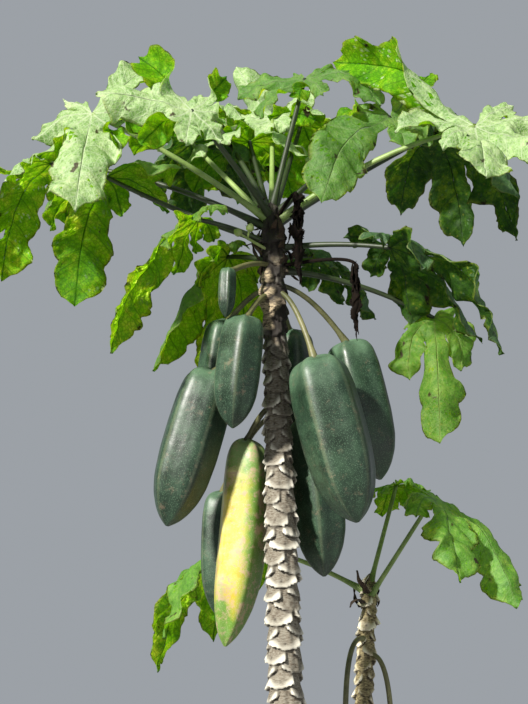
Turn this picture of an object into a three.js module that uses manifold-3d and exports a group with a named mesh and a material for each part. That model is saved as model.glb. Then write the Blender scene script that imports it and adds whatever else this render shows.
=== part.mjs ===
// Babaco plant: a slender unbranched trunk with a sucker from the same root, hand-shaped leaves that
// hang like umbrellas on long stalks round each tip, and five-ridged fruits on the trunk below them.
// Millimetres, +Z up. The origin is the middle of the flat cut under the trunk, at ground level,
// and -Y is the side that faces the viewer.

import * as THREE from 'three';
import { mergeVertices } from 'three/addons/utils/BufferGeometryUtils.js';
import Module from 'manifold-3d';

const wasm = await Module();
wasm.setup();

const UP = new THREE.Vector3(0, 0, 1);
const DOWN = new THREE.Vector3(0, 0, -1);
const CLEARANCE = 0.3; // between a stem and what grows on it
const PARK_MILLER_STEP = 16807;
const PARK_MILLER_SIZE = 2147483647;
const SAME_POINT = 1e-4; // points nearer than this are one
const FOOT_SHARE = 0.2; // share of a limb's length that its swollen foot takes

const radians = THREE.MathUtils.degToRad;
const smooth = (value, from, to) => THREE.MathUtils.smoothstep(value, from, to);
const vector = (x, y, z) => new THREE.Vector3(x, y, z);
const between = ([low, high], share) => THREE.MathUtils.lerp(low, high, share);

// Sizes of the stems, which touch at the foot. lean: how far the tip stands from the foot.
// radii: height, radius. The old leaf scars make the surface swell and narrow in turn: each scar is
// turned from the last by the golden angle, so one side of the stem meets a scar at every 2.618th.
const GOLDEN_TURN = 2.618;
const LEAN_POWER = 1.5;
const FACET_ROOM = 0.1; // more clearance, for the flat sides of what meets a stem
const TRUNK = {
  height: 2205, foot: vector(0, 0, 0), lean: vector(-43, 0, 0), sway: 12,
  radii: [[0, 53], [45, 46], [140, 41], [500, 35], [1000, 29], [1474, 24.5], [1690, 23], [1905, 19],
    [2040, 17.5], [2140, 18.5], [2190, 14], [2205, 6]],
  sides: 12, rings: 20, swell: 0.8, scarPitch: 23,
};
const SUCKER = {
  height: 1672, foot: vector(26.4, 77.3, 0), lean: vector(85.6, 158.7, 0), sway: -14,
  radii: [[0, 30], [40, 26.5], [140, 24], [700, 21], [1300, 16.5], [1600, 13.5], [1655, 10.5], [1672, 5]],
  sides: 10, rings: 16, swell: 0.6, scarPitch: 19,
};

// Sizes of a leaf's blade, of its seven lobes and of their edges.
const LOBE_STEP = 45; // degrees between two lobes
const LOBE_LENGTHS = [0.6, 0.8, 0.94, 1, 0.94, 0.8, 0.6]; // shares of the middle lobe
const LOBE_HALF_WIDTH = 0.29; // share of the lobe's length
const LOBE_WIDEST = 48; // largest half width
const WEDGE_SLOPE = 0.4; // a lobe's half width stays below this share of the way from the hub
const WEB = 0.4; // share of the lobes' length that is webbed
const LOBE_STATIONS = [[0.15, 0.86], [0.34, 1.0], [0.52, 0.76], [0.7, 0.8], [0.87, 0.4]]; // way, half width
const HUB_FLAT = 14; // radius that stays flat round the stalk
const HUB_BACK = 12;
const HUB_HALF_THICKNESS = 2.8;
const RIB_HALF_THICKNESS = 2.2;
const SEAM_HALF_THICKNESS = 1.76;
const TIP_HALF_THICKNESS = 1.4;
const SPINE_STEPS = 24;
const LENGTH_RANGE = [0.88, 1.12]; // shares of the size that the leaf's table gives
const DROOP_RANGE = [0.75, 1.15]; // shares of the droop that it gives
const FOLD_RANGE = [-30, 18]; // degrees that each half of a lobe is folded up along the rib
const FOLD_RAMP = 3; // the fold is full at this many times the flat hub's radius
const TWIST_RANGE = [-24, 24]; // degrees, at the lobe's tip
const TWIST_END = 0.6; // share of a lobe's length at which its twist is full
const BEND_SPAN = [0.08, 0.85]; // shares of a lobe's length between which it bends down
const LIFT = 12; // degrees that a lobe rises from the hub before it bends
const LIFT_END = 0.35; // share of its length at which that rise is full
const NOTCH_RANGE = [0.85, 1.25]; // where the web ends, as shares of WEB
const TOOTH_RANGE = [-0.015, 0.035]; // how far a tooth points along the lobe, as a share of its length
const WIDTH_RANGE = [0.8, 1.2];
const WEB_POWER = 1.5; // how fast a web goes over to the neighbouring lobe
const WEB_FADE = 1.6; // and how far past the notch it still does
const NOTCH_SEED = 1000; // keeps the numbers for the edges apart from those for the lobes

// The stalk is swollen where it leaves the stem.
const STALK = { foot: 4.6, head: 3, swelling: 2.2, steps: 4, sides: 6, below: 1 };

// base: height on the stem. hub: where the stalk meets the blade. heading: the way the middle lobe
// points, in degrees from +X towards +Y. tilt: how far the blade tips forward, in degrees.
// size: length of the middle lobe, where no list gives each lobe's own. droop: share of the way
// from its first direction to straight down that a lobe has bent at its tip. twists: degrees, for the
// lobes, numbered from 0, that have rolled over.
const CROWN = [
  { base: 2160, hub: vector(-385, 80, 2293), heading: 125, tilt: 12, seed: 11, bow: 40,
    lobes: [70, 100, 130, 250, 150, 95, 70], droops: [0.6, 0.8, 0.9, 0.95, 0.25, 0.8, 0.6] },
  { base: 2172, hub: vector(-303, -90, 2310), heading: 262, tilt: 66, lift: 14, seed: 12, bow: 20,
    lobes: [60, 100, 105, 190, 85, 85, 115], droops: [0.3, 0.7, 0.6, 0.8, 0.9, 0.8, 0.08],
    twists: { 2: 70, 4: 150, 5: 130 } },
  { base: 2140, hub: vector(-288, -20, 2238), heading: 114, tilt: 25, seed: 13, bow: -14,
    lobes: [125, 115, 75, 235, 125, 90, 70], droops: [0.45, 0.7, 0.85, 0.95, 0.8, 0.8, 0.6] },
  { base: 2178, hub: vector(-155, -175, 2283), heading: 262, tilt: 64, roll: 14, lift: 22, seed: 14,
    bow: 10, lobes: [125, 135, 100, 80, 70, 70, 85], droops: [0.2, 0.3, 0.75, 0.8, 0.8, 0.6, 0.05],
    twists: { 0: 150, 2: 130, 5: 140, 6: -150 } },
  { base: 2170, hub: vector(-168, 115, 2338), heading: 140, tilt: 20, seed: 15, bow: 0,
    lobes: [140, 170, 165, 110, 90, 80, 50], droops: [0.75, 0.7, 0.85, 0.88, 0.85, 0.7, 0.6] },
  { base: 2168, hub: vector(-77, 130, 2346), heading: 100, tilt: 5, seed: 16, bow: 0,
    lobes: [130, 150, 155, 150, 140, 125, 90], droops: [0.7, 0.75, 0.7, 0.7, 0.75, 0.7, 0.6] },
  { base: 2188, hub: vector(-40, 190, 2408), heading: 245, tilt: 50, lift: 24, seed: 17, bow: 0,
    lobes: [175, 150, 100, 70, 60, 80, 90], droops: [0.06, 0.25, 0.5, 0.7, 0.7, 0.6, 0.2] },
  { base: 2190, hub: vector(9, 40, 2416), heading: 252, tilt: 50, lift: 16, seed: 18, bow: 10,
    lobes: [50, 115, 105, 60, 60, 145, 55], droops: [0.6, 0.45, 0.75, 0.8, 0.7, 0.78, 0.6],
    twists: { 3: 150 } },
  { base: 2176, hub: vector(8, 200, 2405), heading: 70, tilt: 24, seed: 19, bow: 0,
    lobes: [80, 115, 125, 155, 120, 100, 60], droops: [0.6, 0.8, 0.9, 0.92, 0.85, 0.7, 0.5] },
  { base: 2180, hub: vector(138, 20, 2347), heading: 290, tilt: 55, lift: 22, seed: 20, bow: 10,
    lobes: [70, 110, 258, 90, 80, 150, 150], droops: [0.6, 0.85, 0.95, 0.8, 0.7, 0.34, 0.15],
    twists: { 1: -140, 4: 120, 5: 140, 6: 150 } },
  { base: 2168, hub: vector(252, -80, 2294), heading: 268, tilt: 52, lift: 34, seed: 21, bow: 44,
    lobes: [290, 120, 75, 170, 215, 130, 90], droops: [0.42, 0.6, 0.9, 0.95, 0.9, 0.6, 0.4],
    twists: { 0: 125 } },
  { base: 2136, hub: vector(-150, -60, 2160), heading: 205, tilt: 38, roll: -30, lift: 0, seed: 22, bow: 10,
    lobes: [60, 60, 90, 255, 110, 60, 60], droops: [0.6, 0.6, 0.6, 0.7, 0.7, 0.7, 0.6] },
  { base: 2112, hub: vector(-110, 70, 2140), heading: 185, tilt: 45, roll: -30, lift: 0, seed: 23, bow: 6,
    lobes: [80, 160, 215, 215, 90, 70, 60], droops: [0.7, 0.75, 0.75, 0.52, 0.7, 0.7, 0.6] },
  { base: 2115, hub: vector(30, 120, 2155), heading: 10, size: 125, tilt: 30, droop: 0.8, seed: 24, bow: 6 },
  { base: 2132, hub: vector(128, -60, 2118), heading: 20, tilt: 30, seed: 25, bow: 12,
    lobes: [90, 130, 260, 200, 150, 80, 80], droops: [0.6, 0.8, 0.92, 0.66, 0.7, 0.6, 0.2] },
  { base: 2100, hub: vector(200, 50, 2040), heading: 268, tilt: 50, lift: 0, seed: 26, bow: 30,
    lobes: [60, 60, 120, 220, 105, 80, 60], droops: [0.7, 0.9, 1, 0.97, 0.95, 0.85, 0.7] },
  { base: 2165, hub: vector(232, 240, 2400), heading: 20, tilt: 26, seed: 27, bow: 10,
    lobes: [150, 190, 210, 240, 240, 200, 70], droops: [0.9, 0.92, 0.92, 0.95, 0.88, 0.9, 0.8] },
  { base: 2184, hub: vector(-150, 215, 2432), heading: 110, tilt: 6, seed: 28, bow: 14,
    size: 155, droop: 0.7 },
  { base: 2145, hub: vector(-120, 330, 2425), heading: 60, tilt: 15, seed: 29, bow: 10,
    size: 150, droop: 0.7 },
];

const SUCKER_CROWN = [
  { base: 1640, hub: vector(-100, 270, 1722), heading: 160, tilt: 40, seed: 41, bow: 24, stalk: 4,
    lobes: [70, 140, 210, 250, 210, 60, 50], droops: [0.7, 0.85, 0.92, 0.95, 0.95, 0.7, 0.6] },
  { base: 1650, hub: vector(158, 270, 1815), heading: 150, tilt: 10, seed: 42, bow: 0, stalk: 4,
    lobes: [60, 80, 95, 90, 80, 60, 50], droops: [0.5, 0.6, 0.6, 0.7, 0.7, 0.6, 0.5] },
  { base: 1632, hub: vector(205, 170, 1782), heading: 330, tilt: 34, seed: 43, bow: 0, stalk: 4,
    lobes: [60, 80, 200, 225, 205, 170, 110], droops: [0.8, 0.8, 0.92, 0.9, 0.78, 0.5, 0.5],
    twists: { 3: 50 } },
];

// Sizes of the fruits: five-ridged, blunt above and pointed below, each hanging on its own stalk.
// base: height on the stem. turn: where the first ridge lies, in degrees.
const FRUIT_PROFILE = [ // way from top to tip, share of the radius
  [0, 0.34], [0.03, 0.66], [0.1, 0.88], [0.25, 0.98], [0.5, 1], [0.72, 0.93], [0.86, 0.7], [0.95, 0.38],
  [1, 0.08],
];
const RIDGES = 5;
const VALLEY = 0.88; // radius between two ridges, as a share of the radius on one
const FRUIT_STALK = {
  foot: 3.6, head: 4, swelling: 1.2, steps: 5, sides: 6, sunk: 8, shoulder: 0.45, arch: 4,
};
const FRUITS = [
  { base: 2105, top: vector(-105, -75, 2083), tip: vector(-108, -78, 2010), radius: 13, turn: 10 },
  { base: 2060, top: vector(-80, -62, 2016), tip: vector(-98, -66, 1853), radius: 33, turn: 20 },
  { base: 1985, top: vector(-128, -4, 1950), tip: vector(-192, -6, 1722), radius: 44, turn: 62 },
  { base: 1900, top: vector(-80, 46, 1856), tip: vector(-110, 50, 1555), radius: 37, turn: 66, ripe: true },
  { base: 1885, top: vector(-118, 136, 1790), tip: vector(-120, 142, 1600), radius: 32, turn: 0 },
  { base: 2066, top: vector(17, -54, 1958), tip: vector(76, -56, 1722), radius: 50, turn: 50 },
  { base: 2078, top: vector(70, 50, 2004), tip: vector(117, 54, 1796), radius: 42, turn: 35 },
  { base: 1925, top: vector(14, 56, 1890), tip: vector(34, 72, 1656), radius: 41, turn: 20 },
  { base: 2060, top: vector(-14, 84, 2030), tip: vector(-16, 100, 1850), radius: 38, turn: 0 },
  { base: 2075, top: vector(-110, 62, 2040), tip: vector(-128, 74, 1868), radius: 34, turn: 45 },
];
const SUCKER_FRUITS = [
  { base: 1568, top: vector(67, 150, 1440), tip: vector(54, 138, 1240), radius: 36, turn: 15, arch: 24,
    shoulder: 1 },
  { base: 1545, top: vector(138, 190, 1420), tip: vector(150, 184, 1250), radius: 32, turn: 40, arch: 18,
    shoulder: 1 },
];

// What has withered: a leaf that hangs dead from its dry stalk, and a shrivelled one at the tip.
const DRY_STALK = { foot: 2.6, head: 2.2, steps: 6, sides: 5 };
const DRY_BLADE = {
  shares: [0.25, 0.7, 1, 0.75, 1.05, 0.7, 0.95, 0.6, 0.3], sides: 6, turn: 3, crease: 0.6,
  above: 0.03,
};
const WITHERED = [
  { base: 2104, elbow: vector(62, -46, 2112), drop: vector(77, -44, 2098), tip: vector(79, -44, 1986),
    radius: 7 },
  { base: 2166, elbow: vector(-8, -26, 2222), drop: vector(-6, -31, 2206), tip: vector(-2, -34, 2072),
    radius: 11 },
];

// Two round buds on one short stalk, just under the leaves.
const BUDS = {
  base: 2126, fork: vector(-78, -42, 2136), buds: [vector(-92, -46, 2144), vector(-74, -50, 2150)],
  radius: 6, foot: 2.2, head: 2, twig: 1.6, steps: 4, sides: 5, elbow: 0.6, sunk: 0.1,
};

const COLOURS = {
  bark: '#b9ab90', suckerBark: '#a8977a', unripe: '#3b5644', ripe: '#b9b53a',
  leaf: '#5f8f35', dry: '#3a2618', bud: '#a9bd7a',
};
const ROUGHNESS = { bark: 0.85, fruit: 0.45, leaf: 0.6, dry: 0.9 };

// A repeatable run of numbers between 0 and 1.
function numbersFrom(seed) {
  let state = seed;
  return () => {
    state = (state * PARK_MILLER_STEP) % PARK_MILLER_SIZE;
    return state / PARK_MILLER_SIZE;
  };
}

// Solids

function solidFrom(positions, faces) {
  const geometry = new THREE.BufferGeometry();
  const numbers = positions.flatMap((point) => point.toArray());
  geometry.setAttribute('position', new THREE.Float32BufferAttribute(numbers, 3));
  geometry.setIndex(faces.flat());
  const merged = mergeVertices(geometry, SAME_POINT);
  return new wasm.Manifold(new wasm.Mesh({
    numProp: 3,
    vertProperties: new Float32Array(merged.attributes.position.array),
    triVerts: new Uint32Array(merged.index.array),
  }));
}

function meshFrom(solid, name, colour, roughness) {
  const result = solid.getMesh();
  const geometry = new THREE.BufferGeometry();
  geometry.setAttribute('position', new THREE.BufferAttribute(result.vertProperties, 3));
  geometry.setIndex(new THREE.BufferAttribute(result.triVerts, 1));
  const faceted = geometry.toNonIndexed();
  faceted.computeVertexNormals();
  const material = new THREE.MeshStandardMaterial({ color: colour, roughness, metalness: 0 });
  const mesh = new THREE.Mesh(faceted, material);
  mesh.name = name;
  return mesh;
}

// Closes a stack of rings, each as many points, that run anticlockwise seen from the stack's end.
function skin(rings) {
  const sides = rings[0].length;
  const positions = rings.flat();
  const faces = [];
  for (let ring = 0; ring < rings.length - 1; ring++) {
    for (let side = 0; side < sides; side++) {
      const next = (side + 1) % sides;
      const low = ring * sides;
      const high = low + sides;
      faces.push([low + side, low + next, high + next], [low + side, high + next, high + side]);
    }
  }
  const last = (rings.length - 1) * sides;
  for (let side = 1; side < sides - 1; side++) {
    faces.push([0, side + 1, side], [last, last + side, last + side + 1]);
  }
  return solidFrom(positions, faces);
}

// A round limb along a curve, with a radius at each end and a swelling at its foot.
function limb(curve, footRadius, tipRadius, steps, sides, swelling = 0) {
  const frames = curve.computeFrenetFrames(steps, false);
  const rings = [];
  for (let step = 0; step <= steps; step++) {
    const share = step / steps;
    const foot = swelling * (1 - smooth(share, 0, FOOT_SHARE));
    const radius = THREE.MathUtils.lerp(footRadius, tipRadius, share) + foot;
    const centre = curve.getPointAt(share);
    rings.push(Array.from({ length: sides }, (_, side) => {
      const angle = (2 * Math.PI * side) / sides;
      return centre.clone()
        .addScaledVector(frames.normals[step], radius * Math.cos(angle))
        .addScaledVector(frames.binormals[step], radius * Math.sin(angle));
    }));
  }
  return skin(rings);
}

// Stems: rings that stay level, on an axis that leans more the higher it goes, from a flared foot to
// a blunt tip.

function axisOf(stem, height) {
  const share = Math.max(height, 0) / stem.height;
  return stem.foot.clone()
    .addScaledVector(stem.lean, share ** LEAN_POWER)
    .add(vector(0, stem.sway * Math.sin(Math.PI * share), height));
}

function radiusOf(stem, height) {
  const above = stem.radii.findIndex(([level]) => level >= height);
  const [highLevel, high] = stem.radii[Math.max(above, 1)];
  const [lowLevel, low] = stem.radii[Math.max(above, 1) - 1];
  return THREE.MathUtils.mapLinear(height, lowLevel, highLevel, low, high);
}

function stemSolid(stem, extra = 0) {
  const levels = new Set(stem.radii.map(([level]) => level));
  for (let ring = 1; ring < stem.rings; ring++) levels.add((stem.height * ring) / stem.rings);
  const ordered = [...levels].sort((a, b) => a - b);
  const rings = ordered.map((level) => {
    const centre = axisOf(stem, level);
    const swell = stem.swell * Math.sin((2 * Math.PI * level) / (stem.scarPitch * GOLDEN_TURN));
    const radius = radiusOf(stem, level) + swell + extra;
    return Array.from({ length: stem.sides }, (_, side) => {
      const angle = (2 * Math.PI * side) / stem.sides;
      return centre.clone().add(vector(radius * Math.cos(angle), radius * Math.sin(angle), 0));
    });
  });
  return skin(rings);
}

const trunk = stemSolid(TRUNK);
const sucker = stemSolid(SUCKER);
const trunkRoom = stemSolid(TRUNK, CLEARANCE + FACET_ROOM);
const suckerRoom = stemSolid(SUCKER, CLEARANCE + FACET_ROOM);

// Leaves: seven lobes spread round the point where the stalk meets the blade, webbed together near it,
// each bending towards the ground, folded along its rib, twisted a little and toothed along its edges.

function lobesOf(leaf) {
  const next = numbersFrom(leaf.seed);
  const heading = radians(leaf.heading);
  const tilt = radians(leaf.tilt);
  const out = vector(Math.cos(heading), Math.sin(heading), 0);
  const normal = UP.clone().multiplyScalar(Math.cos(tilt)).addScaledVector(out, Math.sin(tilt));
  const forward = out.clone().multiplyScalar(Math.cos(tilt)).addScaledVector(UP, -Math.sin(tilt));
  normal.applyAxisAngle(forward, -radians(leaf.roll ?? 0));
  const side = normal.clone().cross(forward);
  const lift = radians(leaf.lift ?? LIFT);
  return LOBE_LENGTHS.map((share, index) => {
    const angle = radians((index - 3) * LOBE_STEP);
    const length = leaf.lobes?.[index] ?? leaf.size * share * between(LENGTH_RANGE, next());
    const droop = leaf.droops?.[index] ?? leaf.droop * between(DROOP_RANGE, next());
    const fold = radians(between(FOLD_RANGE, next()));
    const drawn = between(TWIST_RANGE, next());
    const twist = radians(leaf.twists?.[index] ?? drawn);
    const direction = forward.clone().multiplyScalar(Math.cos(angle)).addScaledVector(side, Math.sin(angle));
    const fall = Math.acos(THREE.MathUtils.clamp(direction.dot(DOWN), -1, 1));
    const axis = direction.clone().cross(DOWN).normalize();
    const across = normal.clone().cross(direction);
    const spine = [{ point: leaf.hub.clone(), across, normal: normal.clone() }];
    const place = leaf.hub.clone();
    for (let step = 1; step <= SPINE_STEPS; step++) {
      const way = (length * step) / SPINE_STEPS;
      const rise = lift * smooth(way, HUB_FLAT, LIFT_END * length);
      const bend = droop * fall * smooth(way / length, ...BEND_SPAN) - rise;
      const along = direction.clone().applyAxisAngle(axis, bend);
      const turn = twist * smooth(way, HUB_FLAT * 2, TWIST_END * length);
      place.addScaledVector(along, length / SPINE_STEPS);
      spine.push({
        point: place.clone(),
        across: across.clone().applyAxisAngle(axis, bend).applyAxisAngle(along, turn),
        normal: normal.clone().applyAxisAngle(axis, bend).applyAxisAngle(along, turn),
      });
    }
    return { length, fold, spine };
  });
}

// The place, in space, of a point given along and across a lobe's rib.
function onLobe(lobe, along, across) {
  const step = THREE.MathUtils.clamp((along / lobe.length) * SPINE_STEPS, 0, SPINE_STEPS - 1e-6);
  const low = lobe.spine[Math.floor(step)];
  const high = lobe.spine[Math.floor(step) + 1];
  const share = step - Math.floor(step);
  const fold = lobe.fold * smooth(along, HUB_FLAT, HUB_FLAT * FOLD_RAMP);
  const sideways = low.across.clone().lerp(high.across, share).normalize();
  const normal = low.normal.clone().lerp(high.normal, share).normalize();
  const point = low.point.clone().lerp(high.point, share)
    .addScaledVector(sideways, across * Math.cos(fold))
    .addScaledVector(normal, Math.abs(across) * Math.sin(fold));
  return { point, normal };
}

// Near the hub two neighbouring lobes share their web, so a point there lies between both.
function onLeaf(lobes, index, along, across) {
  const own = onLobe(lobes[index], along, across);
  const other = lobes[index + Math.sign(across)];
  if (!other) return own;
  const reach = Math.hypot(along, across);
  const angle = Math.atan2(across, along);
  const half = radians(LOBE_STEP / 2);
  const web = WEB * lobes[index].length;
  const shared = 0.5 * Math.min(1, Math.abs(angle) / half) ** WEB_POWER;
  const share = shared * (1 - smooth(reach, web, web * WEB_FADE));
  const turned = angle - Math.sign(across) * 2 * half;
  const theirs = onLobe(other, reach * Math.cos(turned), reach * Math.sin(turned));
  const normal = own.normal.lerp(theirs.normal, share).normalize();
  return { point: own.point.lerp(theirs.point, share), normal };
}

function bladeSolid(leaf, extra = 0) {
  const lobes = lobesOf(leaf);
  const next = numbersFrom(leaf.seed + NOTCH_SEED);
  const positions = [];
  const upper = [];
  const lower = [];
  // A vertex on the edge is shared by the two faces of the blade; one inside is doubled by its thickness.
  const add = ({ point, normal }, half) => {
    const depth = half > 0 ? half + extra : 0;
    upper.push(positions.push(point.clone().addScaledVector(normal, depth)) - 1);
    if (half > 0) positions.push(point.clone().addScaledVector(normal, -depth));
    lower.push(positions.length - 1);
    return upper.length - 1;
  };
  const faces = [];
  const face = (a, b, c) => faces.push([upper[a], upper[b], upper[c]], [lower[a], lower[c], lower[b]]);
  const half = radians(LOBE_STEP / 2);

  const hub = add(onLobe(lobes[3], 0, 0), HUB_HALF_THICKNESS);
  const back = add(onLobe(lobes[3], 0, 0), 0);
  const ahead = lobes[3].spine[1].point.clone().sub(leaf.hub).normalize();
  positions[upper[back]].addScaledVector(ahead, -HUB_BACK);

  // The seams between lobes: one point half way along the web, one at the notch where the web ends.
  const seams = [];
  for (let gap = 0; gap <= lobes.length; gap++) {
    const inner = gap > 0 ? gap - 1 : 0;
    const sign = gap > 0 ? 1 : -1;
    const shorter = Math.min(lobes[inner].length, lobes[Math.min(gap, lobes.length - 1)].length);
    const notch = WEB * shorter * between(NOTCH_RANGE, next());
    const outermost = gap === 0 || gap === lobes.length;
    const at = (reach) => onLeaf(lobes, inner, reach * Math.cos(half), sign * reach * Math.sin(half));
    seams.push([add(at(notch / 2), outermost ? 0 : SEAM_HALF_THICKNESS), add(at(notch), 0)]);
  }

  lobes.forEach((lobe, index) => {
    const web = WEB * lobe.length;
    const [rightInner, rightNotch] = seams[index];
    const [leftInner, leftNotch] = seams[index + 1];
    const ribInner = add(onLeaf(lobes, index, web / 2, 0), RIB_HALF_THICKNESS);
    let rib = add(onLeaf(lobes, index, web, 0), RIB_HALF_THICKNESS);
    face(hub, rightInner, ribInner);
    face(hub, ribInner, leftInner);
    face(rightInner, rightNotch, rib);
    face(rightInner, rib, ribInner);
    face(ribInner, rib, leftNotch);
    face(ribInner, leftNotch, leftInner);
    let right = rightNotch;
    let left = leftNotch;
    for (const [way, width] of LOBE_STATIONS) {
      const along = web + way * (lobe.length - web);
      const edge = (sign) => {
        const tooth = along + lobe.length * between(TOOTH_RANGE, next());
        const widest = Math.min(LOBE_HALF_WIDTH * lobe.length, LOBE_WIDEST);
        const wide = widest * width * between(WIDTH_RANGE, next());
        return add(onLeaf(lobes, index, tooth, sign * Math.min(wide, WEDGE_SLOPE * tooth)), 0);
      };
      const thickness = THREE.MathUtils.lerp(RIB_HALF_THICKNESS, TIP_HALF_THICKNESS, way);
      const nextRight = edge(-1);
      const nextLeft = edge(1);
      const nextRib = add(onLobe(lobe, along, 0), thickness);
      face(right, nextRight, nextRib);
      face(right, nextRib, rib);
      face(rib, nextRib, nextLeft);
      face(rib, nextLeft, left);
      [right, rib, left] = [nextRight, nextRib, nextLeft];
    }
    const tip = add(onLobe(lobe, lobe.length, 0), 0);
    face(right, tip, rib);
    face(rib, tip, left);
  });
  face(hub, seams[lobes.length][0], back);
  face(hub, back, seams[0][0]);
  return solidFrom(positions, faces);
}

// The stalk runs from inside the stem to the hub, and bows a little.

function stalkCurve(start, end, bow) {
  const middle = start.clone().lerp(end, 0.5).add(vector(0, 0, bow));
  return new THREE.QuadraticBezierCurve3(start, middle, end);
}

function leafSolid(leaf, stem, extra = 0) {
  const start = axisOf(stem, leaf.base);
  const end = leaf.hub.clone().addScaledVector(DOWN, STALK.below);
  const foot = (leaf.stalk ?? STALK.foot) + extra;
  const curve = stalkCurve(start, end, leaf.bow ?? 0);
  const stalk = limb(curve, foot, STALK.head + extra, STALK.steps, STALK.sides, STALK.swelling);
  return bladeSolid(leaf, extra).add(stalk);
}

// Fruits: rings with a corner on each ridge and one in each valley, and a stalk that arches out.

function fruitBody({ top, tip, radius, turn }, extra) {
  const axis = tip.clone().sub(top);
  const length = axis.length();
  axis.normalize();
  const first = vector(1, 0, 0).addScaledVector(axis, -axis.x).normalize();
  const second = axis.clone().cross(first);
  const rings = FRUIT_PROFILE.map(([way, share]) => Array.from({ length: RIDGES * 2 }, (_, side) => {
    const angle = (Math.PI * side) / RIDGES + radians(turn);
    const reach = radius * share * (side % 2 ? VALLEY : 1) + extra;
    return top.clone().addScaledVector(axis, way * (length + 2 * extra) - extra)
      .addScaledVector(first, reach * Math.cos(angle))
      .addScaledVector(second, reach * Math.sin(angle));
  }));
  return skin(rings);
}

function fruitSolid(fruit, stem, extra = 0) {
  const start = axisOf(stem, fruit.base);
  const end = fruit.top.clone().add(fruit.tip.clone().sub(fruit.top).setLength(FRUIT_STALK.sunk));
  const out = vector(end.x - start.x, end.y - start.y, 0);
  const shoulder = start.clone().addScaledVector(out, fruit.shoulder ?? FRUIT_STALK.shoulder);
  shoulder.z += fruit.arch ?? FRUIT_STALK.arch;
  const curve = new THREE.QuadraticBezierCurve3(start, shoulder, end);
  const { foot, head, steps, sides, swelling } = FRUIT_STALK;
  return fruitBody(fruit, extra).add(limb(curve, foot + extra, head + extra, steps, sides, swelling));
}

// A withered leaf: a dry stalk with the shrunken blade rolled round it, a rough, thicker limb lower down.

function witheredSolid(leaf, stem, extra = 0) {
  const start = axisOf(stem, leaf.base);
  const curve = new THREE.QuadraticBezierCurve3(start, leaf.elbow, leaf.drop);
  const { foot, head, steps, sides } = DRY_STALK;
  const stalk = limb(curve, foot + extra, head + extra, steps, sides);
  const axis = leaf.tip.clone().sub(leaf.drop);
  const rings = DRY_BLADE.shares.map((share, ring) => {
    const way = ring / (DRY_BLADE.shares.length - 1);
    const centre = leaf.drop.clone().addScaledVector(axis, way - DRY_BLADE.above * (1 - way));
    return Array.from({ length: DRY_BLADE.sides }, (_, side) => {
      const angle = (-2 * Math.PI * side) / DRY_BLADE.sides - way * DRY_BLADE.turn;
      const reach = leaf.radius * share * (side % 3 ? DRY_BLADE.crease : 1) + extra;
      return centre.clone().add(vector(reach * Math.cos(angle), reach * Math.sin(angle), 0));
    });
  });
  return stalk.add(skin(rings));
}

// The flower buds, each a round body on its own twig.

function budSolid() {
  const start = axisOf(TRUNK, BUDS.base);
  const elbow = start.clone().lerp(BUDS.fork, BUDS.elbow);
  const curve = new THREE.QuadraticBezierCurve3(start, elbow, BUDS.fork);
  let cluster = limb(curve, BUDS.foot, BUDS.head, BUDS.steps, BUDS.sides);
  for (const bud of BUDS.buds) {
    const twig = new THREE.LineCurve3(BUDS.fork.clone().lerp(bud, -BUDS.sunk), bud);
    const ball = new THREE.DodecahedronGeometry(BUDS.radius, 0).translate(bud.x, bud.y, bud.z);
    const corners = ball.attributes.position;
    const corner = (_, index) => vector(0, 0, 0).fromBufferAttribute(corners, index);
    const points = Array.from({ length: corners.count }, corner);
    const faces = Array.from({ length: corners.count / 3 }, (_, i) => [3 * i, 3 * i + 1, 3 * i + 2]);
    cluster = cluster.add(limb(twig, BUDS.twig, BUDS.twig, 1, BUDS.sides)).add(solidFrom(points, faces));
  }
  return cluster;
}

// Assembly: each piece is cut clear of the stem that carries it and of the pieces placed before it,
// as a leaf that grows against a stalk or a fruit gives way to it.

const plant = new THREE.Group();
const placed = [];
const label = (number) => String(number + 1).padStart(2, '0');
const apart = (a, b) => [0, 1, 2].some((axis) => a.min[axis] > b.max[axis] || b.min[axis] > a.max[axis]);

function place(name, solid, room, stemRoom, colour, roughness) {
  let clear = solid.subtract(stemRoom);
  for (const other of placed) {
    if (!apart(clear.boundingBox(), other.boundingBox())) clear = clear.subtract(other);
  }
  const [largest] = clear.decompose().sort((a, b) => b.volume() - a.volume());
  placed.push(room);
  plant.add(meshFrom(largest, name, colour, roughness));
}

// Each solid is made twice: as it is, and larger all round by the clearance, as the room it needs.
function placeAll(name, pieces, solidOf, stem, stemRoom, colourOf, roughness) {
  pieces.forEach((piece, index) => {
    const room = solidOf(piece, stem, CLEARANCE);
    place(`${name}_${label(index)}`, solidOf(piece, stem), room, stemRoom, colourOf(piece), roughness);
  });
}

plant.add(meshFrom(trunk, 'main_trunk', COLOURS.bark, ROUGHNESS.bark));
plant.add(meshFrom(sucker, 'sucker_stem', COLOURS.suckerBark, ROUGHNESS.bark));

const fruitColour = (fruit) => (fruit.ripe ? COLOURS.ripe : COLOURS.unripe);
const leafColour = () => COLOURS.leaf;
const dryColour = () => COLOURS.dry;
placeAll('fruit', FRUITS, fruitSolid, TRUNK, trunkRoom, fruitColour, ROUGHNESS.fruit);
placeAll('sucker_fruit', SUCKER_FRUITS, fruitSolid, SUCKER, suckerRoom, fruitColour, ROUGHNESS.fruit);
placeAll('leaf', CROWN, leafSolid, TRUNK, trunkRoom, leafColour, ROUGHNESS.leaf);
placeAll('sucker_leaf', SUCKER_CROWN, leafSolid, SUCKER, suckerRoom, leafColour, ROUGHNESS.leaf);
placeAll('withered_leaf', WITHERED, witheredSolid, TRUNK, trunkRoom, dryColour, ROUGHNESS.dry);
place('flower_buds', budSolid(), budSolid(), trunkRoom, COLOURS.bud, ROUGHNESS.leaf);

export default plant;
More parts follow.
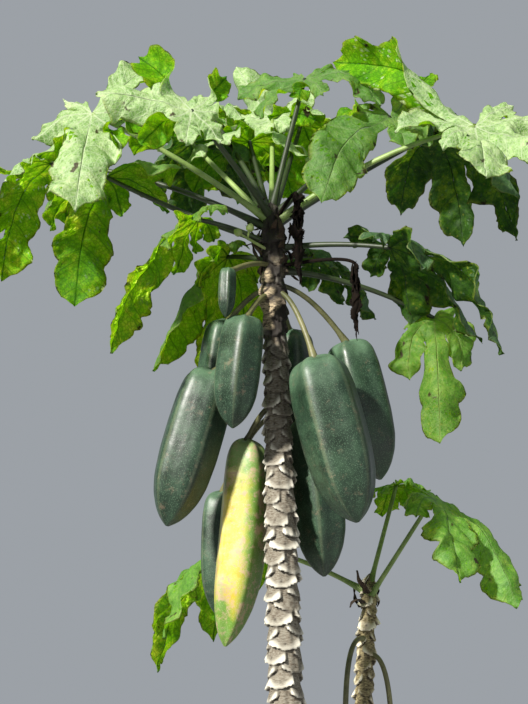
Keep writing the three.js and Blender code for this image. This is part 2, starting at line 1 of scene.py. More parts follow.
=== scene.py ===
# Babaco plant in fruit: a slender ringed trunk with a sucker from the same root, hand-shaped leaves on
# long stalks round the tip of each, and five-ridged fruits that hang below the leaves. Metres, +Z up,
# origin in the middle of the trunk's foot at ground level, -Y towards the viewer.

import math
from collections import Counter

import bmesh
import bpy
import numpy as np
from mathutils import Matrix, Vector


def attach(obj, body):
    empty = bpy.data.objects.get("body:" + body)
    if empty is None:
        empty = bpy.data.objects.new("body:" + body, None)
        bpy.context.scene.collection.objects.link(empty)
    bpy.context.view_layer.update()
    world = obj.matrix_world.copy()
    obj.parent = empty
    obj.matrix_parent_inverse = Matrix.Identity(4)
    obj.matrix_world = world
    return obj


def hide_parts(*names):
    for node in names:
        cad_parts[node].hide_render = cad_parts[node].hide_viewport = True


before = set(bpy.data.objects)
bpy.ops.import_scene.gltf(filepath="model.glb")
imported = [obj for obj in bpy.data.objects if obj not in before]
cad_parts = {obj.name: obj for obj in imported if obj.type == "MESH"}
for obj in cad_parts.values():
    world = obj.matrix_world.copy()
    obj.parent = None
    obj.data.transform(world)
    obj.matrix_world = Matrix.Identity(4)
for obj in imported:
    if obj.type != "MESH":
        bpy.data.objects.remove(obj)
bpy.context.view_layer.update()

# Trunk: the soft, fleshy stem of a giant herb under a thin grey-brown skin. It never branches. Each leaf
# that falls leaves a shield-shaped scar with a raised lip, so the stem grows up through its own scars in
# a spiral. It stands in the ground on its flared foot.

MM = 0.001
GOLDEN_ANGLE = math.radians(137.5)
LEAN_POWER = 1.5
# A stem: height, foot, how far its tip leans and its middle sways, and its radii by height. Then what its
# mesh and scars are made with: points round it, the way up between two rings and between two scars, how
# far up a scar's face slopes back to the stem, and its lips' height as a share of SCAR_LIP.
TRUNK = {
    "height": 2.205, "foot": (0, 0, 0), "lean": (-0.043, 0, 0), "sway": 0.012,
    "radii": [(0, 53), (45, 46), (140, 41), (500, 35), (1000, 29), (1474, 24.5), (1690, 23), (1905, 19),
              (2040, 17.5), (2140, 18.5), (2190, 14), (2205, 6)],
    "sides": 96, "ring_step": 2.4 * MM, "scar_step": 6.6 * MM, "face": 20 * MM, "lip": 1,
    "seed": 3,
}
# A scar: its half width as a share of the stem's girth, how far its lip stands out, sags as a share of
# that and is undercut, how far the lip's ends curl up, and how deep the stem between the scars lies.
SCAR_HALF_SHARE = 0.15
SCAR_LIP = 7.6 * MM
LIP_SAG = 0.42
SCAR_UNDERCUT = 2.2 * MM
SCAR_CURL = 8.5 * MM
SCAR_SUNK = 3.4 * MM
# Chance gives each scar a share of the mean width, curl, face and lip, moves it up or down by millimetres,
# turns it by radians, tilts its lip and ripples it.
HALF_SPREAD = (0.85, 1.2)
CURL_SPREAD = (0.8, 1.3)
FACE_SPREAD = (0.8, 1.2)
LIP_SPREAD = (0.6, 1.3)
STRAY_UP = 1.5
STRAY_TURN = 0.12
STRAY_TILT = 2.5 * MM
LIP_RIPPLE = 0.3 * MM
LIP_RIPPLES = 9
# How hollow a scar's face is, how many undercuts it reaches down and curls up, where it fades out as
# shares of its half width, and how tall its lip is in the middle, and at the ends besides.
FACE_CURVE = 1.15
REACH_DOWN = 2.6
REACH_UP = 1.6
SCAR_FADE = (0.86, 1.1)
LIP_MIDDLE = 0.62
LIP_ENDS = 0.7
# The painted shade in the crease under a lip: how many undercuts down it starts, is full and ends, and
# how much of it a later scar hides.
CREASE_START = 2.4
CREASE_FULL = 1.2
CREASE_END = 0.5
HIDDEN = 0.8
# How strongly the scars stand out at each height.
SCAR_ZONES = [(0, 0.35), (0.4, 0.5), (1.2, 0.85), (1.45, 1), (1.86, 1), (1.9, 0.9), (2.0, 0.9), (2.02, 0.5),
              (2.06, 0.9), (2.15, 1), (2.205, 0.4)]
# The dark dot above each scar's lip, where the leaf's veins broke off.
TRACE_ABOVE = 8 * MM
TRACE_RADIUS = 1.5 * MM
# Knobs where fruit stalks have broken off: height, angle round the stem, radius, how far they stand out.
# From KNOB_FULL on they are all broken wood. Their rims are uneven and their middles dented.
KNOBS = [
    (2.088, 238, 11, 8), (2.064, 226, 13, 9), (2.042, 244, 14, 9), (2.018, 230, 12, 7), (2.050, 290, 10, 5),
    (2.112, 285, 11, 4), (2.098, 320, 10, 4), (2.128, 240, 9, 3), (2.142, 200, 9, 3), (2.150, 300, 9, 4),
    (2.036, 40, 11, 6), (2.080, 110, 12, 6), (2.120, 60, 10, 5), (1.990, 262, 10, 4),
]
KNOB_FULL = 8
KNOB_CORNERS = 3
KNOB_UNEVEN = 0.22
KNOB_PHASE = 900
KNOB_DENT = 0.35
KNOB_DENT_SHARE = 2.5
# Upright wrinkles: how deep each may be, in millimetres, how often they go round, and how far and how fast
# each wanders on its way up.
WRINKLE_DEPTH = (0.05, 0.25)
WRINKLE_TURNS = range(3, 15)
WRINKLE_SWAY = 3
WRINKLE_RATE = (15, 60)
# The wrinkles and the sag of the lips grow in from the flat cut at the foot, and the stem rounds off over
# a last stretch at the tip, down to a share of its radius.
FOOT_SMOOTH = 0.02
SAG_SPAN = (0.01, 0.03)
TIP_ROUND = 0.006
TIP_SHARE = 0.6


def linear(colour):
    """The linear RGBA value of an sRGB hex colour."""
    parts = [int(colour[i:i + 2], 16) / 255 for i in (1, 3, 5)]
    return (*[p / 12.92 if p <= 0.04045 else ((p + 0.055) / 1.055) ** 2.4 for p in parts], 1)


def set_inputs(node, values):
    """Sets a node's sockets. Each takes another node's output, a hex colour or a number."""
    for socket, value in values.items():
        if isinstance(value, bpy.types.Node):
            value = next(output for output in value.outputs if output.enabled)
        if isinstance(value, bpy.types.NodeSocket):
            node.id_data.links.new(value, node.inputs[socket])
        else:
            node.inputs[socket].default_value = linear(value) if isinstance(value, str) else value


def add_node(tree, kind, links=None, stops=None, **settings):
    """Adds a node with its settings, which are properties or input values, and what its sockets take."""
    made = tree.nodes.new("ShaderNode" + kind)
    for name, value in settings.items():
        if hasattr(made, name):
            setattr(made, name, value)
        else:
            made.inputs[name.replace("_", " ")].default_value = value
    set_inputs(made, links or {})
    for place, colour in stops or []:
        ramp = made.color_ramp.elements
        stop = ramp[0] if place == stops[0][0] else ramp[-1] if place == stops[-1][0] else ramp.new(place)
        stop.position = place
        stop.color = linear(colour)
    return made


def bare_material(name):
    """A new material, its nodes, the shader of its surface, and the place on the piece that it paints.

    The shader's IOR stays at 1.5, which suits the wax on a plant's skin.
    """
    material = bpy.data.materials.new(name)
    material.use_nodes = True
    tree = material.node_tree
    return material, tree, tree.nodes["Principled BSDF"], add_node(tree, "TexCoord").outputs["Object"]


def smooth(value, start, end):
    """0 up to start, 1 from end, and an even curve between them."""
    share = np.clip((value - start) / (end - start), 0, 1)
    return share * share * (3 - 2 * share)


def stem_axis(stem, height):
    """Places on a stem's axis, which leans more the higher it goes."""
    height = np.atleast_1d(np.asarray(height, float))
    share = np.maximum(height, 0) / stem["height"]
    place = np.array(stem["foot"]) + np.array(stem["lean"]) * share[:, None] ** LEAN_POWER
    place[:, 1] += stem["sway"] * np.sin(math.pi * share)
    place[:, 2] += height
    return place


def grid_faces(rows, columns, wrap):
    """Quads of a grid of points, row after row, whose rows close on themselves where wrap is true."""
    steps = columns if wrap else columns - 1
    row, column = np.meshgrid(np.arange(rows - 1), np.arange(steps), indexing="ij")
    after = (column + 1) % columns
    corners = [row * columns + column, row * columns + after, (row + 1) * columns + after,
               (row + 1) * columns + column]
    return np.stack(corners, axis=-1).reshape(-1, 4)


def limb_faces(rings, sides):
    """Faces of a round limb: the quads between its rings, and a flat one across each end."""
    last = (rings - 1) * sides
    return [*grid_faces(rings, sides, True).tolist(), list(range(sides))[::-1],
            [last + side for side in range(sides)]]


def add_numbers(mesh, numbers):
    """Gives a mesh named values, one for each point."""
    for label, values in numbers.items():
        mesh.attributes.new(label, "FLOAT", "POINT").data.foreach_set("value", np.asarray(values, np.float32))


def make_piece(name, points, faces, materials, face_materials=None, numbers=None):
    """A smooth mesh on the body root. numbers are named values, one for each point."""
    mesh = bpy.data.meshes.new(name)
    mesh.from_pydata(np.asarray(points).tolist(), [], [list(face) for face in faces])
    add_numbers(mesh, numbers or {})
    for material in materials:
        mesh.materials.append(material)
    if face_materials is not None:
        mesh.polygons.foreach_set("material_index", np.asarray(face_materials, np.int32))
    mesh.polygons.foreach_set("use_smooth", np.ones(len(mesh.polygons), bool))
    piece = bpy.data.objects.new(name, mesh)
    bpy.context.scene.collection.objects.link(piece)
    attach(piece, "root")
    return piece


def weld(mesh, distance=1e-6):
    """Joins points that lie in one place, as where two lobes or two halves of one meet."""
    body = bmesh.new()
    body.from_mesh(mesh)
    bmesh.ops.remove_doubles(body, verts=body.verts, dist=distance)
    body.to_mesh(mesh)
    body.free()


def scarred_stem(name, stem, knobs, material):
    """A stem whose surface carries its leaf scars, each turned from the last by the golden angle."""
    ring_count = int(stem["height"] / stem["ring_step"])
    heights = np.linspace(0, stem["height"], ring_count)
    angles = np.linspace(0, 2 * math.pi, stem["sides"], endpoint=False)
    levels, radii = np.array(stem["radii"]).T * MM
    radius = np.interp(heights, levels, radii)
    zone = np.interp(heights, *np.array(SCAR_ZONES).T)
    relief = np.zeros((ring_count, stem["sides"]))
    shade = np.zeros_like(relief)
    random = np.random.RandomState(stem["seed"])
    for number in range(int(stem["height"] / stem["scar_step"])):
        height = number * stem["scar_step"] + random.uniform(-STRAY_UP, STRAY_UP) * MM
        angle = number * GOLDEN_ANGLE + random.uniform(-STRAY_TURN, STRAY_TURN)
        top = height + FACE_SPREAD[1] * stem["face"] + REACH_UP * SCAR_CURL
        span = (heights > height - SCAR_UNDERCUT * REACH_DOWN) & (heights < top)
        if not span.any():
            continue
        girth = 2 * math.pi * np.interp(height, levels, radii)
        half = girth * SCAR_HALF_SHARE * random.uniform(*HALF_SPREAD)
        away = (angles - angle + math.pi) % (2 * math.pi) - math.pi
        along = away * girth / (2 * math.pi) / half
        lip = SCAR_CURL * random.uniform(*CURL_SPREAD) * along ** 2
        lip += (STRAY_TILT * along * random.uniform(-1, 1)
                + LIP_RIPPLE * np.sin(along * LIP_RIPPLES + random.uniform(0, 6)))
        above = heights[span][:, None] - height - lip[None, :]
        face = np.clip(1 - above / (stem["face"] * random.uniform(*FACE_SPREAD)), 0, 1) ** FACE_CURVE
        under = smooth(above, -SCAR_UNDERCUT, 0)
        width = (1 - smooth(np.abs(along), *SCAR_FADE)) * (LIP_MIDDLE + LIP_ENDS * along ** 2)
        stand = SCAR_LIP * stem["lip"] * random.uniform(*LIP_SPREAD) * face * under * width[None, :]
        relief[span] = np.maximum(relief[span], stand)
        # Painted shade in the crease under the lip; the dot above it is the real trace of the veins.
        dark = smooth(above, -SCAR_UNDERCUT * CREASE_START, -SCAR_UNDERCUT * CREASE_FULL)
        dark = dark * (1 - smooth(above, -SCAR_UNDERCUT * CREASE_END, 0)) * width[None, :]
        spot = np.exp(-((above - TRACE_ABOVE) ** 2 + (along * half)[None, :] ** 2) / TRACE_RADIUS ** 2)
        shown = shade[span] * (1 - HIDDEN * face * under * width[None, :])
        shade[span] = np.maximum(shown, np.maximum(dark, spot))
    relief *= zone[:, None]
    knobbed = np.zeros_like(relief)
    for height, degrees, reach, stand in knobs:
        away = (angles - math.radians(degrees) + math.pi) % (2 * math.pi) - math.pi
        along = away * np.interp(height, levels, radii)
        rise = heights[:, None] - height
        round_it = np.arctan2(rise, along[None, :])
        uneven = 1 + KNOB_UNEVEN * np.sin(KNOB_CORNERS * round_it + height * KNOB_PHASE)
        far = np.hypot(rise, along[None, :]) / (reach * MM) * uneven
        dented = 1 - KNOB_DENT * np.exp(-(far * KNOB_DENT_SHARE) ** 2)
        relief += stand * MM * np.exp(-far ** 4) * dented
        knobbed = np.maximum(knobbed, stand / KNOB_FULL * np.exp(-far ** 4))
    wrinkle = 0
    for turns in WRINKLE_TURNS:
        depth = random.uniform(*WRINKLE_DEPTH) * MM
        phase = turns * angles[None, :] + random.uniform(0, 6)
        sway = WRINKLE_SWAY * np.sin(heights[:, None] * random.uniform(*WRINKLE_RATE))
        wrinkle = wrinkle + depth * np.sin(phase + sway)
    reach = radius[:, None] - SCAR_SUNK + relief + wrinkle * np.minimum(1, heights[:, None] / FOOT_SMOOTH)
    reach *= np.interp(heights, [stem["height"] - TIP_ROUND, stem["height"]], [1, TIP_SHARE])[:, None]
    centre = stem_axis(stem, heights)
    points = np.empty((ring_count, stem["sides"], 3))
    points[..., 0] = centre[:, 0, None] + reach * np.cos(angles)
    points[..., 1] = centre[:, 1, None] + reach * np.sin(angles)
    points[..., 2] = centre[:, 2, None] - LIP_SAG * relief * smooth(heights, *SAG_SPAN)[:, None]
    faces = limb_faces(ring_count, stem["sides"])
    numbers = {"crease_shade_and_trace": shade.ravel(), "stand": (relief / SCAR_LIP / stem["lip"]).ravel(),
               "knob": knobbed.ravel()}
    return make_piece(name, points.reshape(-1, 3), faces, [material], numbers=numbers)


# Thin papery bark on a fleshy stem: paler where the scars stand out, with a painted highlight along
# their lips, streaked on their faces, with painted shade in the creases under their lips, and brown on the
# rims of broken knobs. From two metres up it is still smooth, dark and green-brown, and it is painted
# darker there as painted shade for the crown's shadow.
def papery_bark(name, lip_highlight, pale, tan, brown, shaded, broken_end):
    material, tree, skin, place = bare_material(name)
    split = add_node(tree, "SeparateXYZ", {"Vector": place})
    flat = add_node(tree, "Mapping", {"Vector": place}, Scale=(1, 1, 3.5))
    blotch = add_node(tree, "TexNoise", {"Vector": place}, Scale=1 / (28 * MM), Detail=4)
    streak = add_node(tree, "TexNoise", {"Vector": flat}, Scale=1 / (6 * MM), Detail=6, Roughness=0.7)
    grain = add_node(tree, "TexNoise", {"Vector": place}, Scale=1 / (1.2 * MM), Detail=3)
    colour = add_node(tree, "ValToRGB", {"Fac": streak}, stops=[(0.3, brown), (0.42, tan), (0.58, pale)])
    crease_shade_and_trace = add_node(tree, "Attribute", attribute_name="crease_shade_and_trace").outputs["Fac"]
    stand = add_node(tree, "Attribute", attribute_name="stand").outputs["Fac"]
    broken = add_node(tree, "Attribute", attribute_name="knob").outputs["Fac"]
    # Paler where the scars stand out, and a painted highlight along their lips.
    lifted = add_node(tree, "MapRange", {"Value": stand}, From_Min=0.25, From_Max=0.8, To_Max=0.75)
    edge = add_node(tree, "MapRange", {"Value": stand}, From_Min=0.42, From_Max=0.9, To_Max=0.9)
    # From two metres up: the bark's own darker green-brown, and painted shade for the crown's shadow.
    high = add_node(tree, "MapRange", {"Value": split.outputs["Z"]}, From_Min=1.95, From_Max=2.03, To_Max=0.9)
    patchy = add_node(tree, "Math", {0: high, 1: blotch}, operation="MULTIPLY")
    young_and_shaded = add_node(tree, "Math", {0: patchy, 1: 2.7}, operation="MULTIPLY", use_clamp=True)
    knob = add_node(tree, "MapRange", {"Value": broken}, From_Min=0.35, From_Max=0.95, To_Max=0.9)
    chipped = add_node(tree, "MapRange", {"Value": streak}, From_Min=0.38, From_Max=0.55)
    chips = add_node(tree, "Math", {0: knob, 1: chipped}, operation="MULTIPLY")
    # Painted shade in the creases under the lips, with the real dark trace dots.
    crease = add_node(tree, "Math", {0: crease_shade_and_trace, 1: 0.95}, operation="MULTIPLY")
    for share, tone in [(lifted, pale), (edge, lip_highlight), (young_and_shaded, shaded), (chips, broken_end),
                        (crease, brown)]:
        colour = add_node(tree, "Mix", {0: share, 6: colour, 7: tone}, data_type="RGBA")
    coarse = add_node(tree, "Bump", {"Height": streak}, Strength=0.4, Distance=1.2 * MM)
    fine = add_node(tree, "Bump", {"Height": grain, "Normal": coarse}, Strength=0.35, Distance=0.3 * MM)
    set_inputs(skin, {"Base Color": colour, "Roughness": 0.82, "Normal": fine})
    return material


trunk_bark = papery_bark("trunk_papery_bark", "#dedacb", "#7f7a6d", "#5c5244", "#1f1710", "#1c1610",
                         "#a8977a")
trunk = scarred_stem("trunk_bark", TRUNK, KNOBS, trunk_bark)
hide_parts("main_trunk")

# Sucker: a younger, thinner stem from the same root, built like the trunk. Its skin is browner and
# scaly, with a brighter painted highlight on its lips and darker painted shade in its creases.

SUCKER = {
    "height": 1.672, "foot": (0.0264, 0.0773, 0), "lean": (0.0856, 0.1587, 0), "sway": -0.014,
    "radii": [(0, 30), (40, 26.5), (140, 24), (700, 21), (1300, 16.5), (1600, 13.5), (1655, 10.5), (1672, 5)],
    "sides": 64, "ring_step": 2.4 * MM, "scar_step": 7.4 * MM, "face": 14 * MM, "lip": 0.95,
    "seed": 5,
}
SUCKER_KNOBS = [(1.60, 250, 9, 4), (1.56, 190, 9, 4), (1.63, 320, 8, 4)]

# Brighter painted highlight on the lips and darker painted shade in the creases than the trunk's.
sucker_bark = papery_bark("sucker_papery_bark", "#f4ecd4", "#978b66", "#4c4029", "#0e0804", "#5c5034",
                          "#b3a27c")
sucker = scarred_stem("sucker_bark", SUCKER, SUCKER_KNOBS, sucker_bark)
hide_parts("sucker_stem")

# Leaves: seven soft lobes spread like fingers round the end of a long hollow stalk, webbed near it,
# thin and quilted between their veins. They grow in a spiral round the tip and hang over like umbrellas.

UP = np.array([0.0, 0.0, 1.0])
DOWN = -UP
LOBE_STEP = math.radians(45)
LOBE_LENGTHS = [0.6, 0.8, 0.94, 1, 0.94, 0.8, 0.6]
# Half a lobe's width: as a share of its length, at most, and near the hub as a share of the way from it.
LOBE_HALF_WIDTH = 0.29
LOBE_WIDEST = 48
WEDGE_SLOPE = 0.4
# How far out neighbouring lobes are joined, as a share of their length, and how the web fades.
WEB = 0.4
WEB_POWER = 1.5
WEB_FADE = 1.6
# Teeth and bays along half a lobe: shares of the way from web to tip and of half the width.
LOBE_STATIONS = [(0.15, 0.86), (0.34, 1.0), (0.52, 0.76), (0.7, 0.8), (0.87, 0.4)]
HUB_FLAT = 14
SPINE_STEPS = 24
# What chance makes of each lobe and tooth: shares, and for folds and twists degrees.
LENGTH_RANGE = (0.88, 1.12)
DROOP_RANGE = (0.75, 1.15)
FOLD_RANGE = (-30, 18)
TWIST_RANGE = (-24, 24)
NOTCH_RANGE = (0.85, 1.25)
TOOTH_RANGE = (-0.015, 0.035)
WIDTH_RANGE = (0.8, 1.2)
# Over which share of its length a lobe bends down, lifts by so many degrees first, and twists; over how
# many times the hub's flat it folds along its rib.
BEND_SPAN = (0.08, 0.85)
LIFT = 12
LIFT_END = 0.35
TWIST_END = 0.6
FOLD_RAMP = 3
# Starts of the runs of chance, and the two numbers that numbers_from counts with.
NOTCH_SEED = 1000
CURL_SEED = 500
RUN_STEP = 16807
RUN_SIZE = 2147483647

# A leaf, in millimetres and degrees: base is the height on the stem where its stalk leaves, hub the
# place where stalk and blade meet, heading the way the middle lobe points, tilt how far the blade tips
# forward, roll how far sideways, lift how far its lobes rise before they droop, bow how far the stalk
# arches. lobes are the lobes' lengths, droops how far each has bent over, twists how far one has turned
# on its rib, holes what insects have eaten: the lobe, its half, the way along and across it, the radius.
CROWN = [
    {"base": 2160, "hub": (-385, 80, 2293), "heading": 125, "tilt": 12, "seed": 11, "bow": 40,
     "lobes": [70, 100, 130, 250, 150, 95, 70], "droops": [0.6, 0.8, 0.9, 0.95, 0.25, 0.8, 0.6],
     "holes": [(3, 1, 0.7, 14, 8), (3, -1, 0.55, 9, 4)]},
    {"base": 2172, "hub": (-303, -90, 2310), "heading": 262, "tilt": 66, "lift": 14, "seed": 12, "bow": 20,
     "lobes": [60, 100, 105, 190, 85, 85, 115], "droops": [0.3, 0.7, 0.6, 0.8, 0.9, 0.8, 0.08],
     "twists": {2: 70, 4: 150, 5: 130}},
    {"base": 2140, "hub": (-288, -20, 2238), "heading": 114, "tilt": 25, "seed": 13, "bow": -14,
     "lobes": [125, 115, 75, 235, 125, 90, 70], "droops": [0.45, 0.7, 0.85, 0.95, 0.8, 0.8, 0.6]},
    {"base": 2178, "hub": (-155, -175, 2283), "heading": 262, "tilt": 64, "roll": 14, "lift": 22, "seed": 14,
     "bow": 10, "lobes": [125, 135, 100, 80, 70, 70, 85], "droops": [0.2, 0.3, 0.75, 0.8, 0.8, 0.6, 0.05],
     "twists": {0: 150, 2: 130, 5: 140, 6: -150}},
    {"base": 2170, "hub": (-168, 115, 2338), "heading": 140, "tilt": 20, "seed": 15, "bow": 0,
     "lobes": [140, 170, 165, 110, 90, 80, 50], "droops": [0.75, 0.7, 0.85, 0.88, 0.85, 0.7, 0.6]},
    {"base": 2168, "hub": (-77, 130, 2346), "heading": 100, "tilt": 5, "seed": 16, "bow": 0,
     "lobes": [130, 150, 155, 150, 140, 125, 90], "droops": [0.7, 0.75, 0.7, 0.7, 0.75, 0.7, 0.6]},
    {"base": 2188, "hub": (-40, 190, 2408), "heading": 245, "tilt": 50, "lift": 24, "seed": 17, "bow": 0,
     "lobes": [175, 150, 100, 70, 60, 80, 90], "droops": [0.06, 0.25, 0.5, 0.7, 0.7, 0.6, 0.2],
     "twists": {2: 120, 5: -130}},
    {"base": 2190, "hub": (9, 40, 2416), "heading": 252, "tilt": 50, "lift": 16, "seed": 18, "bow": 10,
     "lobes": [50, 115, 105, 60, 60, 145, 55], "droops": [0.6, 0.45, 0.75, 0.8, 0.7, 0.78, 0.6],
     "twists": {3: 150}},
    {"base": 2176, "hub": (8, 200, 2405), "heading": 70, "tilt": 24, "seed": 19, "bow": 0,
     "lobes": [80, 115, 125, 155, 120, 100, 60], "droops": [0.6, 0.8, 0.9, 0.92, 0.85, 0.7, 0.5]},
    {"base": 2180, "hub": (138, 20, 2347), "heading": 290, "tilt": 55, "lift": 22, "seed": 20, "bow": 10,
     "lobes": [70, 110, 258, 90, 80, 150, 150], "droops": [0.6, 0.85, 0.95, 0.8, 0.7, 0.34, 0.15],
     "twists": {1: -140, 4: 120, 5: 140, 6: 150}},
    {"base": 2168, "hub": (252, -80, 2294), "heading": 268, "tilt": 52, "lift": 34, "seed": 21, "bow": 44,
     "lobes": [290, 120, 75, 170, 215, 130, 90], "droops": [0.42, 0.6, 0.9, 0.95, 0.9, 0.6, 0.4],
     "twists": {0: 125}},
    {"base": 2136, "hub": (-150, -60, 2160), "heading": 205, "tilt": 38, "roll": -30, "lift": 0, "seed": 22,
     "bow": 10, "lobes": [60, 60, 90, 255, 110, 60, 60], "droops": [0.6, 0.6, 0.6, 0.7, 0.7, 0.7, 0.6]},
    {"base": 2112, "hub": (-110, 70, 2140), "heading": 185, "tilt": 45, "roll": -30, "lift": 0, "seed": 23,
     "bow": 6, "lobes": [80, 160, 215, 215, 90, 70, 60], "droops": [0.7, 0.75, 0.75, 0.52, 0.7, 0.7, 0.6]},
    {"base": 2115, "hub": (30, 120, 2155), "heading": 10, "size": 125, "tilt": 30, "droop": 0.8, "seed": 24,
     "bow": 6},
    {"base": 2132, "hub": (128, -60, 2118), "heading": 20, "tilt": 30, "seed": 25, "bow": 12,
     "lobes": [90, 130, 260, 200, 150, 80, 80], "droops": [0.6, 0.8, 0.92, 0.66, 0.7, 0.6, 0.2]},
    {"base": 2100, "hub": (200, 50, 2040), "heading": 268, "tilt": 50, "lift": 0, "seed": 26, "bow": 30,
     "lobes": [60, 60, 120, 220, 105, 80, 60], "droops": [0.7, 0.9, 1, 0.97, 0.95, 0.85, 0.7]},
    {"base": 2165, "hub": (232, 240, 2400), "heading": 20, "tilt": 26, "seed": 27, "bow": 10,
     "lobes": [150, 190, 210, 240, 240, 200, 70], "droops": [0.9, 0.92, 0.92, 0.95, 0.88, 0.9, 0.8]},
    {"base": 2184, "hub": (-150, 215, 2432), "heading": 110, "size": 155, "tilt": 6, "droop": 0.7, "seed": 28,
     "bow": 14},
    {"base": 2145, "hub": (-120, 330, 2425), "heading": 60, "size": 150, "tilt": 15, "droop": 0.7,
     "seed": 29, "bow": 10},
]
SUCKER_CROWN = [
    {"base": 1640, "hub": (-100, 270, 1722), "heading": 160, "tilt": 40, "seed": 41, "bow": 24, "stalk": 4,
     "lobes": [70, 140, 210, 250, 210, 60, 50], "droops": [0.7, 0.85, 0.92, 0.95, 0.95, 0.7, 0.6]},
    {"base": 1650, "hub": (158, 270, 1815), "heading": 150, "tilt": 10, "seed": 42, "bow": 0, "stalk": 4,
     "lobes": [60, 80, 95, 90, 80, 60, 50], "droops": [0.5, 0.6, 0.6, 0.7, 0.7, 0.6, 0.5]},
    {"base": 1632, "hub": (205, 170, 1782), "heading": 330, "tilt": 34, "seed": 43, "bow": 0, "stalk": 4,
     "lobes": [60, 80, 200, 225, 205, 170, 110], "droops": [0.8, 0.8, 0.92, 0.9, 0.78, 0.5, 0.5],
     "twists": {3: 50}},
]

# The blade's own detail: rows of points between two side veins and across half a lobe, and how the side
# veins slant and curve.
ROWS = 6
ACROSS = np.array([0, 0.05, 0.12, 0.25, 0.42, 0.6, 0.77, 0.9, 1.0])
VEIN_SLANT = 0.75
VEIN_CURVE = 1.25
# Half the thickness of the blade, what rib and side veins add below it, how far the rib reaches to each
# side, how much of it is left out by the tip, and the groove above it.
BLADE_HALF = 0.35
RIB_HALF = 1.5
RIB_REACH = 3.2
RIB_TAPER = 0.75
RIB_GROOVE = 0.3
SIDE_VEIN = 0.45
# How high the blade is quilted between its veins, highest a bit nearer to the rib, and how high and fast
# its edge waves. Both grow in: the quilting by the way from the hub, the waves and the dry rim by rows.
QUILT = 1.5
QUILT_POWER = 0.8
DETAIL_SPAN = (8, 45)
RIPPLE = 4.5
RIPPLE_TURN = 2.4
RIPPLE_SPAN = (2, 3.5)
RIM_SPAN = (1.5, 2.2)
# The edge beyond the web: how deep it is cut before each tooth, how far it swells between them and at
# the tip, how ragged it is, all as shares of the way between two teeth, and the narrowest half lobe.
CUT = 0.07
SWELL = 0.12
TIP_SWELL = -0.03
NICK = 0.018
NARROWEST = 0.2
WEB_STRETCHES = 2
# How much the cuts differ by chance, how soon each is at its deepest, and how it runs out again.
CUT_SPREAD = (0, 2)
CUT_SPREAD_POWER = 1.5
CUT_DEEPEST = 0.17
CUT_POWER = 0.7
# How fast each half of a lobe curls up or down from its rib, in radians for each millimetre.
CURL_RANGE = (-0.024, 0.010)
CURL_RAMP = 5
FLATTEST_CURL = 1e-5
# The creases of the whole blade: wavelengths and heights, how many waves of each, and how much each wave
# may differ. They are lower at the rib than from CREASE_REACH on.
CREASES = [(75, 6.0), (30, 3.0), (13, 1.1)]
CREASE_WAVES = 7
CREASE_SHARE = 0.38
CREASE_SPREAD = (0.7, 1.4)
CREASE_AT_RIB = 0.45
CREASE_BESIDE = 0.75
CREASE_REACH = 30


def turned(vectors, axis, angle):
    """Vectors turned about unit axes by angles, all of which may be arrays."""
    angle = np.asarray(angle)[..., None]
    along = np.sum(axis * vectors, axis=-1, keepdims=True)
    return (vectors * np.cos(angle) + np.cross(axis, vectors) * np.sin(angle)
            + axis * along * (1 - np.cos(angle)))


def unit(vectors):
    """Vectors made 1 long."""
    return vectors / np.linalg.norm(vectors, axis=-1, keepdims=True)


def numbers_from(seed):
    """A repeatable run of numbers between 0 and 1."""
    state = seed
    while True:
        state = state * RUN_STEP % RUN_SIZE
        yield state / RUN_SIZE


def between(span, share):
    """The value that lies a share of the way through a span."""
    return span[0] + (span[1] - span[0]) * share


def lobes_of(leaf):
    """The curved ribs of a leaf's seven lobes, each with its directions across and out of the blade."""
    run = numbers_from(leaf["seed"])
    heading, tilt = math.radians(leaf["heading"]), math.radians(leaf["tilt"])
    out = np.array([math.cos(heading), math.sin(heading), 0])
    normal = UP * math.cos(tilt) + out * math.sin(tilt)
    forward = out * math.cos(tilt) - UP * math.sin(tilt)
    normal = turned(normal, forward, -math.radians(leaf.get("roll", 0)))
    side = np.cross(normal, forward)
    lift = math.radians(leaf.get("lift", LIFT))
    random = np.random.RandomState(leaf["seed"] + CURL_SEED)
    lobes = []
    for index, share in enumerate(LOBE_LENGTHS):
        angle = (index - 3) * LOBE_STEP
        if "lobes" in leaf:
            length, droop = leaf["lobes"][index], leaf["droops"][index]
        else:
            length = leaf["size"] * share * between(LENGTH_RANGE, next(run))
            droop = leaf["droop"] * between(DROOP_RANGE, next(run))
        fold = math.radians(between(FOLD_RANGE, next(run)))
        twist = math.radians(leaf.get("twists", {}).get(index, between(TWIST_RANGE, next(run))))
        direction = forward * math.cos(angle) + side * math.sin(angle)
        fall = math.acos(np.clip(direction @ DOWN, -1, 1))
        axis = unit(np.cross(direction, DOWN))
        across = np.cross(normal, direction)
        way = length * np.arange(SPINE_STEPS + 1) / SPINE_STEPS
        bend = droop * fall * smooth(way / length, *BEND_SPAN)
        bend -= lift * smooth(way, HUB_FLAT, LIFT_END * length)
        along = turned(direction, axis, bend)
        turn = twist * smooth(way, HUB_FLAT * 2, TWIST_END * length)
        steps = along * length / SPINE_STEPS
        steps[0] = leaf["hub"]
        lobes.append({
            "length": length, "fold": fold, "curl": random.uniform(*CURL_RANGE, 2),
            "points": np.cumsum(steps, axis=0),
            "across": turned(turned(across, axis, bend), along, turn),
            "normals": turned(turned(normal, axis, bend), along, turn),
        })
    return lobes


